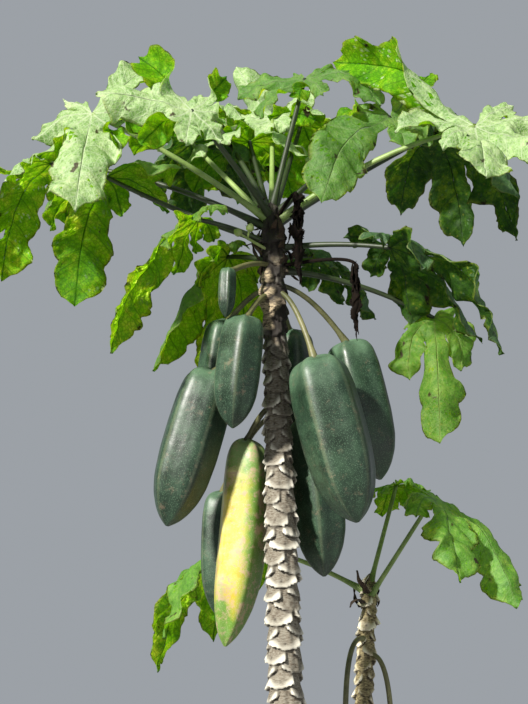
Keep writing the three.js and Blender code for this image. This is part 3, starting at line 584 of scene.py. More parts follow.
def on_lobe(lobe, along, across):
    """Places, and the blade's direction outwards there, given along and across a lobe's rib."""
    step = np.clip(along / lobe["length"] * SPINE_STEPS, 0, SPINE_STEPS - 1e-6)
    low = step.astype(int)
    share = (step - low)[..., None]
    fold = (lobe["fold"] * smooth(along, HUB_FLAT, HUB_FLAT * FOLD_RAMP))[..., None]
    sideways = unit(lobe["across"][low] * (1 - share) + lobe["across"][low + 1] * share)
    normal = unit(lobe["normals"][low] * (1 - share) + lobe["normals"][low + 1] * share)
    point = lobe["points"][low] * (1 - share) + lobe["points"][low + 1] * share
    # Across the rib each half runs in an arc, from the fold at the rib.
    curl = np.where(across < 0, *lobe["curl"]) * smooth(along, HUB_FLAT, HUB_FLAT * CURL_RAMP)
    curl = np.where(np.abs(curl) < FLATTEST_CURL, FLATTEST_CURL, curl)[..., None]
    wide = np.abs(across)[..., None]
    out = (np.sin(fold + curl * wide) - np.sin(fold)) / curl
    raised = (np.cos(fold) - np.cos(fold + curl * wide)) / curl
    return point + sideways * np.sign(across)[..., None] * out + normal * raised, normal


def on_leaf(lobes, index, hand, along, across):
    """As on_lobe, but near the hub two neighbouring lobes share their web. across is never negative."""
    point, normal = on_lobe(lobes[index], along, hand * across)
    if not 0 <= index + hand < len(lobes):
        return point, normal
    reach, angle = np.hypot(along, across), np.arctan2(across, along)
    web = WEB * lobes[index]["length"]
    shared = 0.5 * np.minimum(1, angle / (LOBE_STEP / 2)) ** WEB_POWER
    share = (shared * (1 - smooth(reach, web, web * WEB_FADE)))[..., None]
    back = angle - LOBE_STEP
    theirs, their_normal = on_lobe(lobes[index + hand], reach * np.cos(back), hand * reach * np.sin(back))
    return point + (theirs - point) * share, unit(normal + (their_normal - normal) * share)


def creased(points, seed):
    """How far a blade's creases lift it at each point: waves in many directions, which never repeat."""
    random = np.random.RandomState(seed)
    height = np.zeros(points.shape[:-1])
    for wavelength, size in CREASES:
        for _ in range(CREASE_WAVES):
            way = random.normal(size=3)
            way *= random.uniform(*CREASE_SPREAD) / np.linalg.norm(way)
            start = random.uniform(0, 2 * math.pi)
            height += size * CREASE_SHARE * np.sin(points @ way * 2 * math.pi / wavelength + start)
    return height


def outline_of(lobe, notch, stations, random):
    """Half a lobe's edge, as points along and across, and where the vein to each meets the rib."""
    half = LOBE_STEP / 2
    sinus = np.array([notch * math.cos(half), notch * math.sin(half)])
    corners = [np.zeros(2), sinus / 2, sinus, *[np.array(s) for s in stations], np.array([lobe["length"], 0])]
    feet = [corner[0] - VEIN_SLANT * corner[1] for corner in corners]
    edge, rib = [], []
    for number, (start, end) in enumerate(zip(corners[:-1], corners[1:])):
        share = np.arange(ROWS) / ROWS
        line = start + (end - start) * share[:, None]
        if number >= WEB_STRETCHES:
            size = np.linalg.norm(end - start)
            inward = unit(np.array([end[1] - start[1], start[0] - end[0]]))
            inward *= -np.sign(inward[1])
            # Behind each point of the edge the outline draws in, then swells out again to the next.
            cut = CUT * random.uniform(*CUT_SPREAD) ** CUT_SPREAD_POWER
            cut = cut * np.minimum(1, share / CUT_DEEPEST) * (1 - share) ** CUT_POWER
            to_tip = number == len(corners) - 2
            swell = (TIP_SWELL if to_tip else SWELL) * np.sin(math.pi * share)
            nick = NICK * random.uniform(-1, 1, ROWS) * (share > 0)
            line = line + inward * ((cut - swell + nick) * size)[:, None]
            line[:, 1] = np.maximum(line[:, 1], NARROWEST)
        edge.append(line)
        rib.append(feet[number] + (feet[number + 1] - feet[number]) * share)
    return np.vstack([*edge, corners[-1]]), np.append(np.concatenate(rib), lobe["length"])


def blade(name, leaf, materials):
    """A leaf's blade: an upper and a lower sheet that meet at the edge, thicker along the veins."""
    lobes = lobes_of(leaf)
    run = numbers_from(leaf["seed"] + NOTCH_SEED)
    random = np.random.RandomState(leaf["seed"])
    notches = []
    for gap in range(len(lobes) + 1):
        shorter = min(lobes[max(gap - 1, 0)]["length"], lobes[min(gap, len(lobes) - 1)]["length"])
        notches.append(WEB * shorter * between(NOTCH_RANGE, next(run)))
    points, faces = [], []
    numbers = {"across": [], "row": [], "rim": [], "above": [], "below": []}
    count = 0
    for index, lobe in enumerate(lobes):
        web = WEB * lobe["length"]
        edges = {-1: [], 1: []}
        for way, width in LOBE_STATIONS:
            for hand in (-1, 1):
                tooth = web + way * (lobe["length"] - web) + lobe["length"] * between(TOOTH_RANGE, next(run))
                widest = min(LOBE_HALF_WIDTH * lobe["length"], LOBE_WIDEST)
                wide = widest * width * between(WIDTH_RANGE, next(run))
                edges[hand].append((tooth, min(wide, WEDGE_SLOPE * tooth)))
        for hand in (-1, 1):
            notch = notches[index if hand < 0 else index + 1]
            edge, rib = outline_of(lobe, notch, edges[hand], random)
            row = np.arange(len(edge)) / ROWS
            t = ACROSS[None, :]
            along = rib[:, None] + (edge[:, 0] - rib)[:, None] * t ** VEIN_CURVE
            across = edge[:, 1][:, None] * t
            point, normal = on_leaf(lobes, index, hand, along, across)
            vein = 1 - np.minimum(1, np.abs(row - np.round(row)) * ROWS)
            grown = smooth(along, *DETAIL_SPAN)
            quilt = QUILT * np.sin(math.pi * (row % 1))[:, None] ** 2
            quilt = quilt * np.sin(math.pi * t ** QUILT_POWER) * grown
            wave = RIPPLE * t ** 2 * np.sin(row[:, None] * RIPPLE_TURN + random.uniform(0, 6))
            wave = wave * smooth(row, *RIPPLE_SPAN)[:, None]
            ridge = np.clip(1 - across / RIB_REACH, 0, 1) * (1 - along / lobe["length"] * RIB_TAPER)
            beside = CREASE_AT_RIB + CREASE_BESIDE * np.minimum(1, across / CREASE_REACH)
            crease = creased(point, leaf["seed"]) * grown * beside
            middle = point + normal * (quilt + wave + crease - RIB_GROOVE * ridge)[..., None]
            sheet = grid_faces(len(edge), len(ACROSS), False)
            for lobe_with_hole, hand_with_hole, way, aside, hole in leaf.get("holes", []):
                if (lobe_with_hole, hand_with_hole) == (index, hand):
                    far = np.hypot(along - way * lobe["length"], across - aside)
                    sheet = sheet[far.ravel()[sheet].mean(axis=1) > hole]
            points.append(middle.reshape(-1, 3))
            faces.append((sheet[:, ::-1] if hand > 0 else sheet) + count)
            count += along.size
            numbers["across"].append(across.ravel())
            numbers["row"].append(np.repeat(row, len(ACROSS)))
            numbers["rim"].append((t * smooth(row, *RIM_SPAN)[:, None]).ravel())
            numbers["above"].append((BLADE_HALF - RIB_GROOVE * ridge).ravel())
            side_veins = SIDE_VEIN * vein[:, None] * (1 - t) * grown
            numbers["below"].append((BLADE_HALF + RIB_HALF * ridge + side_veins).ravel())
    numbers = {label: np.concatenate(parts) for label, parts in numbers.items()}
    return two_sided(name, np.vstack(points) * MM, np.vstack(faces), numbers, materials)


def two_sided(name, points, faces, numbers, materials):
    """Turns a single sheet into a thin body with an upper and a lower side that meet at every edge."""
    mesh = bpy.data.meshes.new(name + "_sheet")
    mesh.from_pydata(points.tolist(), [], faces.tolist())
    add_numbers(mesh, numbers)
    weld(mesh)
    count = len(mesh.vertices)
    places, normals = np.empty(count * 3), np.empty(count * 3)
    mesh.vertices.foreach_get("co", places)
    mesh.vertices.foreach_get("normal", normals)
    places, normals = places.reshape(-1, 3), normals.reshape(-1, 3)
    values = {}
    for label in numbers:
        values[label] = np.empty(count)
        mesh.attributes[label].data.foreach_get("value", values[label])
    sheet = [list(face.vertices) for face in mesh.polygons]
    uses = Counter(frozenset(pair) for face in sheet for pair in zip(face, face[1:] + face[:1]))
    rim = sorted({corner for pair, times in uses.items() if times == 1 for corner in pair})
    values["above"][rim] = 0
    values["below"][rim] = 0
    bpy.data.meshes.remove(mesh)
    upper = places + normals * values.pop("above")[:, None] * MM
    lower = places - normals * values.pop("below")[:, None] * MM
    both = sheet + [[corner + count for corner in reversed(face)] for face in sheet]
    sides = np.repeat([0, 1], len(sheet))
    doubled = {label: np.tile(kept, 2) for label, kept in values.items()}
    piece = make_piece(name, np.vstack([upper, lower]), both, materials, sides, doubled)
    weld(piece.data)
    return piece


# A leaf's skin. Above: dull, waxy and pale grey-green, embossed by a net of fine veins 4 to 5 mm apart.
# Below: thinner and greener. Light shines through both, yellow between the veins and dark along them,
# with pale flecks where insects have fed and brown dead spots.
def leaf_skin(name, deep, mid, pale, vein, shine, shine_vein, through, flecks, roughness, relief):
    material, tree, skin, place = bare_material(name)
    patch = add_node(tree, "TexNoise", {"Vector": place}, Scale=1 / (40 * MM), Detail=6, Roughness=0.65)
    mottle = add_node(tree, "TexNoise", {"Vector": place}, Scale=1 / (9 * MM), Detail=5, Roughness=0.7)
    summed = add_node(tree, "Math", {0: patch, 1: mottle}, operation="ADD")
    tone = add_node(tree, "Math", {0: summed, 1: 0.5}, operation="MULTIPLY")
    colour = add_node(tree, "ValToRGB", {"Fac": tone}, stops=[(0.38, deep), (0.5, mid), (0.62, pale)])
    # Veins: the fine net, the side veins in the middle of each row of points, and the rib.
    net = add_node(tree, "TexVoronoi", {"Vector": place}, feature="DISTANCE_TO_EDGE", Scale=1 / (6 * MM))
    net_line = add_node(tree, "MapRange", {"Value": net}, From_Min=0.02, From_Max=0.16, To_Min=0.4, To_Max=0)
    row = add_node(tree, "Attribute", attribute_name="row").outputs["Fac"]
    half_row = add_node(tree, "Math", {0: row, 1: 0.5}, operation="ADD")
    part = add_node(tree, "Math", {0: half_row}, operation="FRACT")
    off = add_node(tree, "Math", {0: part, 1: 0.5}, operation="SUBTRACT")
    far = add_node(tree, "Math", {0: off}, operation="ABSOLUTE")
    side_line = add_node(tree, "MapRange", {"Value": far}, From_Min=0.015, From_Max=0.06, To_Min=0.6,
                         To_Max=0)
    across = add_node(tree, "Attribute", attribute_name="across").outputs["Fac"]
    rib_line = add_node(tree, "MapRange", {"Value": across}, From_Min=0.7, From_Max=1.9, To_Min=0.85,
                        To_Max=0)
    two = add_node(tree, "Math", {0: side_line, 1: rib_line}, operation="MAXIMUM")
    veins = add_node(tree, "Math", {0: two, 1: net_line}, operation="MAXIMUM")
    # Marks: flecks in patches, dead spots and a yellowed edge.
    dots = add_node(tree, "TexVoronoi", {"Vector": place}, Scale=1 / (10 * MM))
    dot = add_node(tree, "MapRange", {"Value": dots}, From_Min=0.10, From_Max=0.24, To_Min=flecks, To_Max=0)
    patchy = add_node(tree, "Math", {0: dot, 1: patch}, operation="MULTIPLY")
    fleck = add_node(tree, "Math", {0: patchy, 1: 1.8}, operation="MULTIPLY", use_clamp=True)
    scorch = add_node(tree, "TexNoise", {"Vector": place}, Scale=1 / (26 * MM), Detail=3)
    scorched = add_node(tree, "MapRange", {"Value": scorch}, From_Min=0.67, From_Max=0.71, To_Max=0.9)
    rim = add_node(tree, "Attribute", attribute_name="rim").outputs["Fac"]
    edge = add_node(tree, "MapRange", {"Value": rim}, From_Min=0.88, From_Max=1.0, To_Max=0.5)
    wrinkle = add_node(tree, "TexNoise", {"Vector": place}, Scale=1 / (7 * MM), Detail=5, Roughness=0.6)
    crinkled = add_node(tree, "Bump", {"Height": wrinkle}, Strength=relief, Distance=3 * MM)
    raised = add_node(tree, "Bump", {"Height": veins, "Normal": crinkled}, Strength=relief * 0.6,
                      Distance=1 * MM)
    shone = add_node(tree, "ValToRGB", {"Fac": tone}, stops=list(zip((0.38, 0.5, 0.6), shine)))
    # The same veins and marks lie over the colour that the skin reflects and the one that it lets through.
    seen = []
    for source, vein_tone, fleck_tone, edge_tone in [(colour, vein, "#a9a83a", "#8b9448"),
                                                     (shone, shine_vein, "#f4f078", "#d8cf50")]:
        for share, paint in [(veins, vein_tone), (fleck, fleck_tone), (edge, edge_tone),
                             (scorched, "#3b2712")]:
            source = add_node(tree, "Mix", {0: share, 6: source, 7: paint}, data_type="RGBA")
        seen.append(source)
    set_inputs(skin, {"Base Color": seen[0], "Roughness": roughness, "Specular IOR Level": 0.4,
                      "Normal": raised})
    glow = add_node(tree, "BsdfTranslucent", {"Color": seen[1], "Normal": raised})
    both = add_node(tree, "MixShader", {0: through, 1: skin, 2: glow})
    set_inputs(tree.nodes["Material Output"], {"Surface": both})
    return material


# The colours that light takes on through the leaves, from thick to thin tissue, and a darker set as
# painted shade for the leaves in the crown's shade.
YOUNG_SHINE = ("#b4e42a", "#d2f842", "#f8ff7c")
SHADED_SHINE = ("#4c8008", "#90c022", "#d8ec4c")
# The skins: the upper one under its bloom of wax, a darker one without the bloom, partly painted shade
# for upper sides in shade, the thin lower one, darker copies of both as painted shade for the leaves in
# the crown's shade, the blotched one of ageing leaves, and the sucker's, greener in the shade.
# The last numbers are the share of light let through, the flecks, the roughness and the relief.
upper_skin = leaf_skin("leaf_upper_skin", "#66884c", "#90ac70", "#bccf9f", "#ccdbb1", YOUNG_SHINE,
                       "#a8c840", 0.38, 0.0, 0.42, 1.0)
# Darker and without the bloom, partly as painted shade for upper sides that lie in shade.
dull_shaded_upper = leaf_skin("dull_shaded_leaf_upper_skin", "#365c22", "#4e7436", "#6f8f52", "#7c985c", YOUNG_SHINE,
                       "#8aae34", 0.46, 0.0, 0.5, 0.9)
lower_skin = leaf_skin("leaf_lower_skin", "#3e7c13", "#669e1b", "#94bc2d", "#38661c", YOUNG_SHINE, "#66a01a",
                       0.8, 0.3, 0.6, 0.6)
# Darker copies, as painted shade for the leaves in the crown's shade.
shade_upper = leaf_skin("shade_leaf_upper_skin", "#2a4a22", "#395a31", "#547349", "#5f7a54", SHADED_SHINE,
                        "#5f8a24", 0.35, 0.0, 0.45, 0.9)
shade_lower = leaf_skin("shade_leaf_lower_skin", "#1b380b", "#28490f", "#3c6216", "#44642a", SHADED_SHINE,
                        "#3a6210", 0.6, 0.45, 0.6, 0.6)
ageing_upper = leaf_skin("ageing_leaf_upper_skin", "#315319", "#456a28", "#66863f", "#7c9648", YOUNG_SHINE,
                         "#a8bc40", 0.46, 0.3, 0.6, 0.8)
sucker_upper = leaf_skin("sucker_leaf_upper_skin", "#3c6a22", "#55842f", "#7aa04c", "#6f9448", YOUNG_SHINE,
                         "#8cb430", 0.4, 0.0, 0.5, 0.8)

# Leaf stalks: hollow, round and tapering, waxy and pale green; the dark skin of those in shade is
# painted shade. Each is swollen where it leaves the stem, and breaks off there with its leaf when that is
# spent.

STALK = {"foot": 4.6, "head": 3.2, "swelling": 2.6, "sides": 14, "steps": 40, "below": 1, "ridges": 7,
         "groove": 0.03}
FOOT_SHARE = 0.2


def arch(start, middle, end, count):
    """Points along a quadratic curve."""
    share = np.linspace(0, 1, count)[:, None]
    return start * (1 - share) ** 2 + middle * 2 * share * (1 - share) + end * share ** 2


def tube(path, radii, sides, ridges=0, depth=0):
    """Points and faces of a round limb along a path, with as many shallow ridges along it as ridges."""
    along = unit(np.gradient(path, axis=0))
    first = unit(np.cross(along[0], UP + np.array([0.3, 0.1, 0])))
    rings = []
    for place, way, radius in zip(path, along, radii):
        first = unit(first - way * (first @ way))
        second = np.cross(way, first)
        angles = np.linspace(0, 2 * math.pi, sides, endpoint=False)
        reach = radius * (1 + depth * np.cos(ridges * angles))[:, None]
        rings.append(place + reach * (first * np.cos(angles)[:, None] + second * np.sin(angles)[:, None]))
    return np.vstack(rings), limb_faces(len(path), sides)


def leaf_stalk(name, leaf, stem, material):
    """A stalk from the stem's axis to just under the hub of the blade."""
    start = stem_axis(stem, leaf["base"] * MM)[0]
    end = (np.array(leaf["hub"]) + DOWN * STALK["below"]) * MM
    middle = (start + end) / 2 + UP * leaf["bow"] * MM
    share = np.linspace(0, 1, STALK["steps"])
    foot = leaf.get("stalk", STALK["foot"])
    radii = foot + (STALK["head"] - foot) * share + STALK["swelling"] * (1 - smooth(share, 0, FOOT_SHARE))
    path = arch(start, middle, end, STALK["steps"])
    points, faces = tube(path, radii * MM, STALK["sides"], STALK["ridges"], STALK["groove"])
    return make_piece(name, points, faces, [material])


# Smooth waxy skin over soft tissue: pale green, streaked along its length, with a dull shine.
def stalk_skin(name, pale, deep, flush, roughness=0.5, specular=0.5):
    material, tree, skin, place = bare_material(name)
    cloud = add_node(tree, "TexNoise", {"Vector": place}, Scale=1 / (30 * MM), Detail=4)
    speck = add_node(tree, "TexNoise", {"Vector": place}, Scale=1 / (2.5 * MM), Detail=3)
    colour = add_node(tree, "ValToRGB", {"Fac": cloud}, stops=[(0.35, deep), (0.65, pale)])
    specked = add_node(tree, "MapRange", {"Value": speck}, From_Min=0.56, From_Max=0.7, To_Max=0.5)
    mixed = add_node(tree, "Mix", {0: specked, 6: colour, 7: flush}, data_type="RGBA")
    bump = add_node(tree, "Bump", {"Height": speck}, Strength=0.3, Distance=0.6 * MM)
    set_inputs(skin, {"Base Color": mixed, "Roughness": roughness, "Specular IOR Level": specular,
                      "Normal": bump})
    return material


pale_stalk = stalk_skin("pale_stalk_skin", "#869c58", "#627a38", "#5a6438")
# A darker copy, painted shade for the stalks that hang in shade.
shaded_stalk = stalk_skin("shaded_stalk_skin", "#2b391c", "#1f2a13", "#2c2817")

# The trunk's leaves by number: those on pale stalks, those in the crown's shade, whose darker skins are
# painted shade, ageing ones, and dull ones that have lost their bloom, their darker skin partly painted
# shade.
PALE_STALKED = (2, 5, 7, 11)
SHADED = (5, 14, 15, 17)
AGEING = (12, 13, 16)
DULL_SHADED = (3, 8, 10, 19)
TRUNK_SKINS = {
    **dict.fromkeys(SHADED, [shade_upper, shade_lower]),
    **dict.fromkeys(AGEING, [ageing_upper, lower_skin]),
    **dict.fromkeys(DULL_SHADED, [dull_shaded_upper, lower_skin]),
}


def grow_leaves(name, crown, stem, usual_skins, other_skins, pale):
    """The leaves of one stem, each a blade on its stalk. other_skins are those of some, by number."""
    for number, leaf in enumerate(crown, 1):
        node = f"{name}_{number:02d}"
        leaf_blade = blade(node + "_blade", leaf, other_skins.get(number, usual_skins))
        stalk = leaf_stalk(node + "_stalk", leaf, stem, pale_stalk if number in pale else shaded_stalk)
        for piece in (leaf_blade, stalk):
            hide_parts(node)


grow_leaves("leaf", CROWN, TRUNK, [upper_skin, lower_skin], TRUNK_SKINS, PALE_STALKED)
grow_leaves("sucker_leaf", SUCKER_CROWN, SUCKER, [sucker_upper, lower_skin], {}, (1, 2, 3))

# Fruits: seedless, torpedo-shaped, with five blunt ridges, blunt at the stalk and pointed below. Each
# hangs from the stem on its own stalk, and ripens from blue-green to yellow from the tip up.

FRUIT_PROFILE = [(0, 0.14), (0.010, 0.42), (0.03, 0.66), (0.06, 0.80), (0.1, 0.89), (0.2, 0.97), (0.35, 1.0),
                 (0.55, 1.0), (0.72, 0.93), (0.82, 0.79), (0.9, 0.58), (0.95, 0.38), (0.98, 0.2), (1, 0.05)]
FRUIT_SIDES = 90
FRUIT_RINGS = 72
# Ridges and the valleys between them: how many, the valleys' radius as a share of the ridges', how sharp
# the ridges are, and how much sharper they get at the tip and at the shoulder.
RIDGES = 5
VALLEY = 0.88
RIDGE_POWER = 1.35
TIP_SHARPER = 0.45
TIP_SPAN = (0.6, 1)
SHOULDER_SHARPER = 0.4
SHOULDER_SPAN = (0, 0.15)
# How far the valleys dip at the shoulder, over which reach, and how far a body bows by chance, as shares
# of its length, how much fuller one side is, and lumps by how often they go round and how they wander.
SHOULDER_DIP = 0.0125
DIP_REACH = 0.1
STRAY_BOW = 0.012
FULLER = 0.03
LUMP = 0.012
LUMP_TURNS = (2, 3, 4, 6)
LUMP_WANDER = (2, 9)
FRUIT_STALK = {"foot": 3.6, "head": 4.2, "swelling": 2.0, "cap": 2.2, "sides": 12, "steps": 28, "sunk": 8,
               "cap_span": (0.85, 1), "shoulder": 0.45, "arch": 4, "ridges": 5, "groove": 0.06}
# The side turned to the key lamp, which ripens first; away from it the fruits are painted darker green,
# as painted shade.
SUNNY_SIDE = (-0.75, -0.65, 0)
# base is the height on the stem, top and tip the fruit's ends, turn where its first ridge lies.
FRUITS = [
    {"base": 2105, "top": (-105, -75, 2083), "tip": (-108, -78, 2010), "radius": 13, "turn": 10},
    {"base": 2060, "top": (-80, -62, 2016), "tip": (-98, -66, 1853), "radius": 33, "turn": 20},
    {"base": 1985, "top": (-128, -4, 1950), "tip": (-192, -6, 1722), "radius": 44, "turn": 62},
    {"base": 1900, "top": (-80, 46, 1856), "tip": (-110, 50, 1555), "radius": 37, "turn": 66, "bow": 8,
     "ripe": True},
    {"base": 1885, "top": (-118, 136, 1790), "tip": (-120, 142, 1600), "radius": 32, "turn": 0},
    {"base": 2066, "top": (17, -54, 1958), "tip": (76, -56, 1722), "radius": 50, "turn": 50},
    {"base": 2078, "top": (70, 50, 2004), "tip": (117, 54, 1796), "radius": 42, "turn": 35},
    {"base": 1925, "top": (14, 56, 1890), "tip": (34, 72, 1656), "radius": 41, "turn": 20},
    {"base": 2060, "top": (-14, 84, 2030), "tip": (-16, 100, 1850), "radius": 38, "turn": 0},
    {"base": 2075, "top": (-110, 62, 2040), "tip": (-128, 74, 1868), "radius": 34, "turn": 45},
]
SUCKER_FRUITS = [
    {"base": 1568, "top": (67, 150, 1440), "tip": (54, 138, 1240), "radius": 36, "turn": 15, "arch": 24,
     "shoulder": 1},
    {"base": 1545, "top": (138, 190, 1420), "tip": (150, 184, 1250), "radius": 32, "turn": 40, "arch": 18,
     "shoulder": 1},
]


def fruit_body(name, fruit, number, material):
    """A fruit, with how far down it, how near a ridge and how sunny each point is."""
    top, tip = np.array(fruit["top"], float), np.array(fruit["tip"], float)
    length = np.linalg.norm(tip - top)
    axis = (tip - top) / length
    first = unit(np.array([1, 0, 0]) - axis * axis[0])
    second = np.cross(axis, first)
    random = np.random.RandomState(number)
    way = 0.5 - 0.5 * np.cos(np.linspace(0, math.pi, FRUIT_RINGS))
    ways, shares = np.array(FRUIT_PROFILE).T
    share = np.interp(way, ways, shares)
    # Evened out twice, so that no corner of the profile shows.
    for _ in range(2):
        share[1:-1] = (share[:-2] + 2 * share[1:-1] + share[2:]) / 4
    angles = np.linspace(0, 2 * math.pi, FRUIT_SIDES, endpoint=False)
    round_it = RIDGES * (angles - math.radians(fruit["turn"]))
    ridge = (0.5 + 0.5 * np.cos(round_it)) ** RIDGE_POWER
    sharp = 1 + TIP_SHARPER * smooth(way, *TIP_SPAN) + SHOULDER_SHARPER * (1 - smooth(way, *SHOULDER_SPAN))
    uneven = 1 + FULLER * np.cos(angles - random.uniform(0, 6))[None, :] + LUMP * sum(
        random.uniform(-1, 1) * np.sin(turns * angles[None, :] + way[:, None] * random.uniform(*LUMP_WANDER))
        for turns in LUMP_TURNS)
    valleys = (1 - VALLEY) * sharp[:, None] * (1 - ridge)[None, :]
    reach = fruit["radius"] * share[:, None] * (1 - valleys) * uneven
    dip = SHOULDER_DIP * length * (np.clip(1 - way / DIP_REACH, 0, 1) ** 2)[:, None] * (ridge - 1)[None, :]
    sideways = fruit.get("bow", STRAY_BOW * length * random.uniform(-1, 1))
    bow = sideways * np.sin(math.pi * way)
    centre = top + axis * (way * length)[:, None] + first * bow[:, None]
    outward = first * np.cos(angles)[:, None] + second * np.sin(angles)[:, None]
    points = centre[:, None, :] - axis * dip[..., None] + reach[..., None] * outward[None, :, :]
    sunny = np.tile(outward @ unit(np.array(SUNNY_SIDE)), FRUIT_RINGS)
    numbers = {"way": np.repeat(way, FRUIT_SIDES), "ridge": np.tile(ridge, FRUIT_RINGS), "sunny": sunny}
    return make_piece(name, points.reshape(-1, 3) * MM, limb_faces(FRUIT_RINGS, FRUIT_SIDES), [material],
                      numbers=numbers)


def fruit_stalk(name, fruit, stem, material):
    """A stalk that leaves the stem nearly level, bends over and ends in the fruit's shoulder."""
    start = stem_axis(stem, fruit["base"] * MM)[0] / MM
    top, tip = np.array(fruit["top"], float), np.array(fruit["tip"], float)
    end = top + unit(tip - top) * FRUIT_STALK["sunk"]
    shoulder = fruit.get("shoulder", FRUIT_STALK["shoulder"])
    middle = start + np.array([end[0] - start[0], end[1] - start[1], 0]) * shoulder
    middle[2] += fruit.get("arch", FRUIT_STALK["arch"])
    share = np.linspace(0, 1, FRUIT_STALK["steps"])
    radii = (FRUIT_STALK["foot"] + (FRUIT_STALK["head"] - FRUIT_STALK["foot"]) * share
             + FRUIT_STALK["swelling"] * (1 - smooth(share, 0, FOOT_SHARE))
             + FRUIT_STALK["cap"] * smooth(share, *FRUIT_STALK["cap_span"]))
    path = arch(start, middle, end, FRUIT_STALK["steps"])
    points, faces = tube(path * MM, radii * MM, FRUIT_STALK["sides"], FRUIT_STALK["ridges"],
                         FRUIT_STALK["groove"])
    return make_piece(name, points, faces, [material])


# Fruit skin: thin and smooth under a grey-blue bloom of wax, thickly dotted with pale pores less than
# 1 mm across, the bloom rubbed off along the ridges and thickest on the shoulders. The side turned away
# from the key lamp is painted darker green, as painted shade. A ripe one is yellow on the side towards
# the lamp, still green at both ends and, partly as painted shade, on the other side, with pinkish-brown
# scuffs.
def fruit_skin(name, tones, ridge_colour, ridge_share, green, green_share, scuff_share, scuff_from,
               wax, bloom):
    material, tree, skin, place = bare_material(name)
    cloud = add_node(tree, "TexNoise", {"Vector": place}, Scale=1 / (30 * MM), Detail=5, Roughness=0.6)
    colour = add_node(tree, "ValToRGB", {"Fac": cloud}, stops=list(zip((0.33, 0.5, 0.67), tones)))
    ridge = add_node(tree, "Attribute", attribute_name="ridge").outputs["Fac"]
    way = add_node(tree, "Attribute", attribute_name="way").outputs["Fac"]
    sunny = add_node(tree, "Attribute", attribute_name="sunny").outputs["Fac"]
    # Rubbed ridges.
    crest = add_node(tree, "MapRange", {"Value": ridge}, From_Min=0.93, From_Max=1.0, To_Max=ridge_share)
    rub = add_node(tree, "TexNoise", {"Vector": place}, Scale=1 / (16 * MM), Detail=7, Roughness=0.8)
    scraped = add_node(tree, "Math", {0: crest, 1: rub}, operation="MULTIPLY")
    # Green left at both ends, and painted shade in darker green on the side away from the key lamp.
    clouded = add_node(tree, "Math", {0: cloud, 1: 0.5}, operation="MULTIPLY")
    place_down = add_node(tree, "Math", {0: way, 1: clouded}, operation="ADD")
    middle = add_node(tree, "Math", {0: place_down, 1: 0.73}, operation="SUBTRACT")
    apart = add_node(tree, "Math", {0: middle}, operation="ABSOLUTE")
    ends = add_node(tree, "MapRange", {"Value": apart}, From_Min=0.22, From_Max=0.34)
    uneven = add_node(tree, "Math", {0: cloud, 1: 1.3}, operation="MULTIPLY")
    turned_away = add_node(tree, "Math", {0: sunny, 1: uneven}, operation="SUBTRACT")
    shady = add_node(tree, "MapRange", {"Value": turned_away}, From_Min=-0.35, From_Max=0.25, To_Min=1,
                     To_Max=0)
    unripe_and_shaded = add_node(tree, "Math", {0: ends, 1: shady}, operation="MAXIMUM")
    green_and_shaded = add_node(tree, "Math", {0: unripe_and_shaded, 1: green_share}, operation="MULTIPLY")
    # Wax on the shoulder, pores and scuffs.
    shoulder = add_node(tree, "MapRange", {"Value": way}, From_Min=0.02, From_Max=0.22, To_Min=bloom,
                        To_Max=0)
    waxy = add_node(tree, "Math", {0: shoulder, 1: cloud}, operation="MULTIPLY")
    pores = add_node(tree, "TexVoronoi", {"Vector": place}, Scale=1 / (1.8 * MM))
    pore = add_node(tree, "MapRange", {"Value": pores}, From_Min=0.12, From_Max=0.36, To_Min=0.45, To_Max=0)
    rubbed = add_node(tree, "MapRange", {"Value": rub}, From_Min=scuff_from, From_Max=scuff_from + 0.09,
                      To_Max=scuff_share)
    for share, tone in [(scraped, ridge_colour), (green_and_shaded, green), (waxy, wax), (pore, wax),
                        (rubbed, "#a98d76")]:
        colour = add_node(tree, "Mix", {0: share, 6: colour, 7: tone}, data_type="RGBA")
    gloss = add_node(tree, "MapRange", {"Value": cloud}, From_Min=0.3, From_Max=0.7, To_Min=0.34, To_Max=0.52)
    bump = add_node(tree, "Bump", {"Height": pore}, Strength=0.25, Distance=0.4 * MM)
    lumpy = add_node(tree, "Bump", {"Height": cloud, "Normal": bump}, Strength=0.3, Distance=3 * MM)
    set_inputs(skin, {"Base Color": colour, "Roughness": gloss, "Specular IOR Level": 0.45,
                      "Normal": lumpy})
    return material


green_skin = fruit_skin("unripe_fruit_skin", ("#142417", "#1e3322", "#304a33"), "#868c6c", 0.4, "#12241a",
                        0.4, 0.2, 0.57, "#6c8c6e", 0.85)
yellow_skin = fruit_skin("ripe_fruit_skin", ("#a8962c", "#c0b450", "#ccc78a"), "#c0b894", 0.5, "#487826",
                         0.9, 0.8, 0.5, "#a4b884", 0.8)
fruit_stalk_skin = stalk_skin("fruit_stalk_skin", "#6d6b47", "#474a2b", "#382d1c")


def hang_fruits(name, fruits, stem):
    """The fruits of one stem, each a body on its stalk."""
    for number, fruit in enumerate(fruits, 1):
        node = f"{name}_{number:02d}"
        ripe = fruit.get("ripe", False)
        body = fruit_body(node + "_body", fruit, number, yellow_skin if ripe else green_skin)
        stalk = fruit_stalk(node + "_stalk", fruit, stem, fruit_stalk_skin)
        for piece in (body, stalk):
            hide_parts(node)


hang_fruits("fruit", FRUITS, TRUNK)
hang_fruits("sucker_fruit", SUCKER_FRUITS, SUCKER)

# Withered leaves: dead, crumpled and rolled round their ribs, nearly black, hanging from dry stalks. One
# hangs below the crown, the other has shrivelled beside the trunk's tip.

DRY_STALK = {"foot": 2.6, "head": 2.2, "sides": 10, "steps": 24, "ridges": 5, "groove": 0.15}
# A withered leaf's rolled strips: where each starts and ends, as shares of the drop, and how wide it is.
DRY_STRIPS = [(0.0, 1.0, 1.0), (0.02, 0.62, 1.35), (0.3, 0.92, 1.2), (0.0, 0.4, 1.5)]
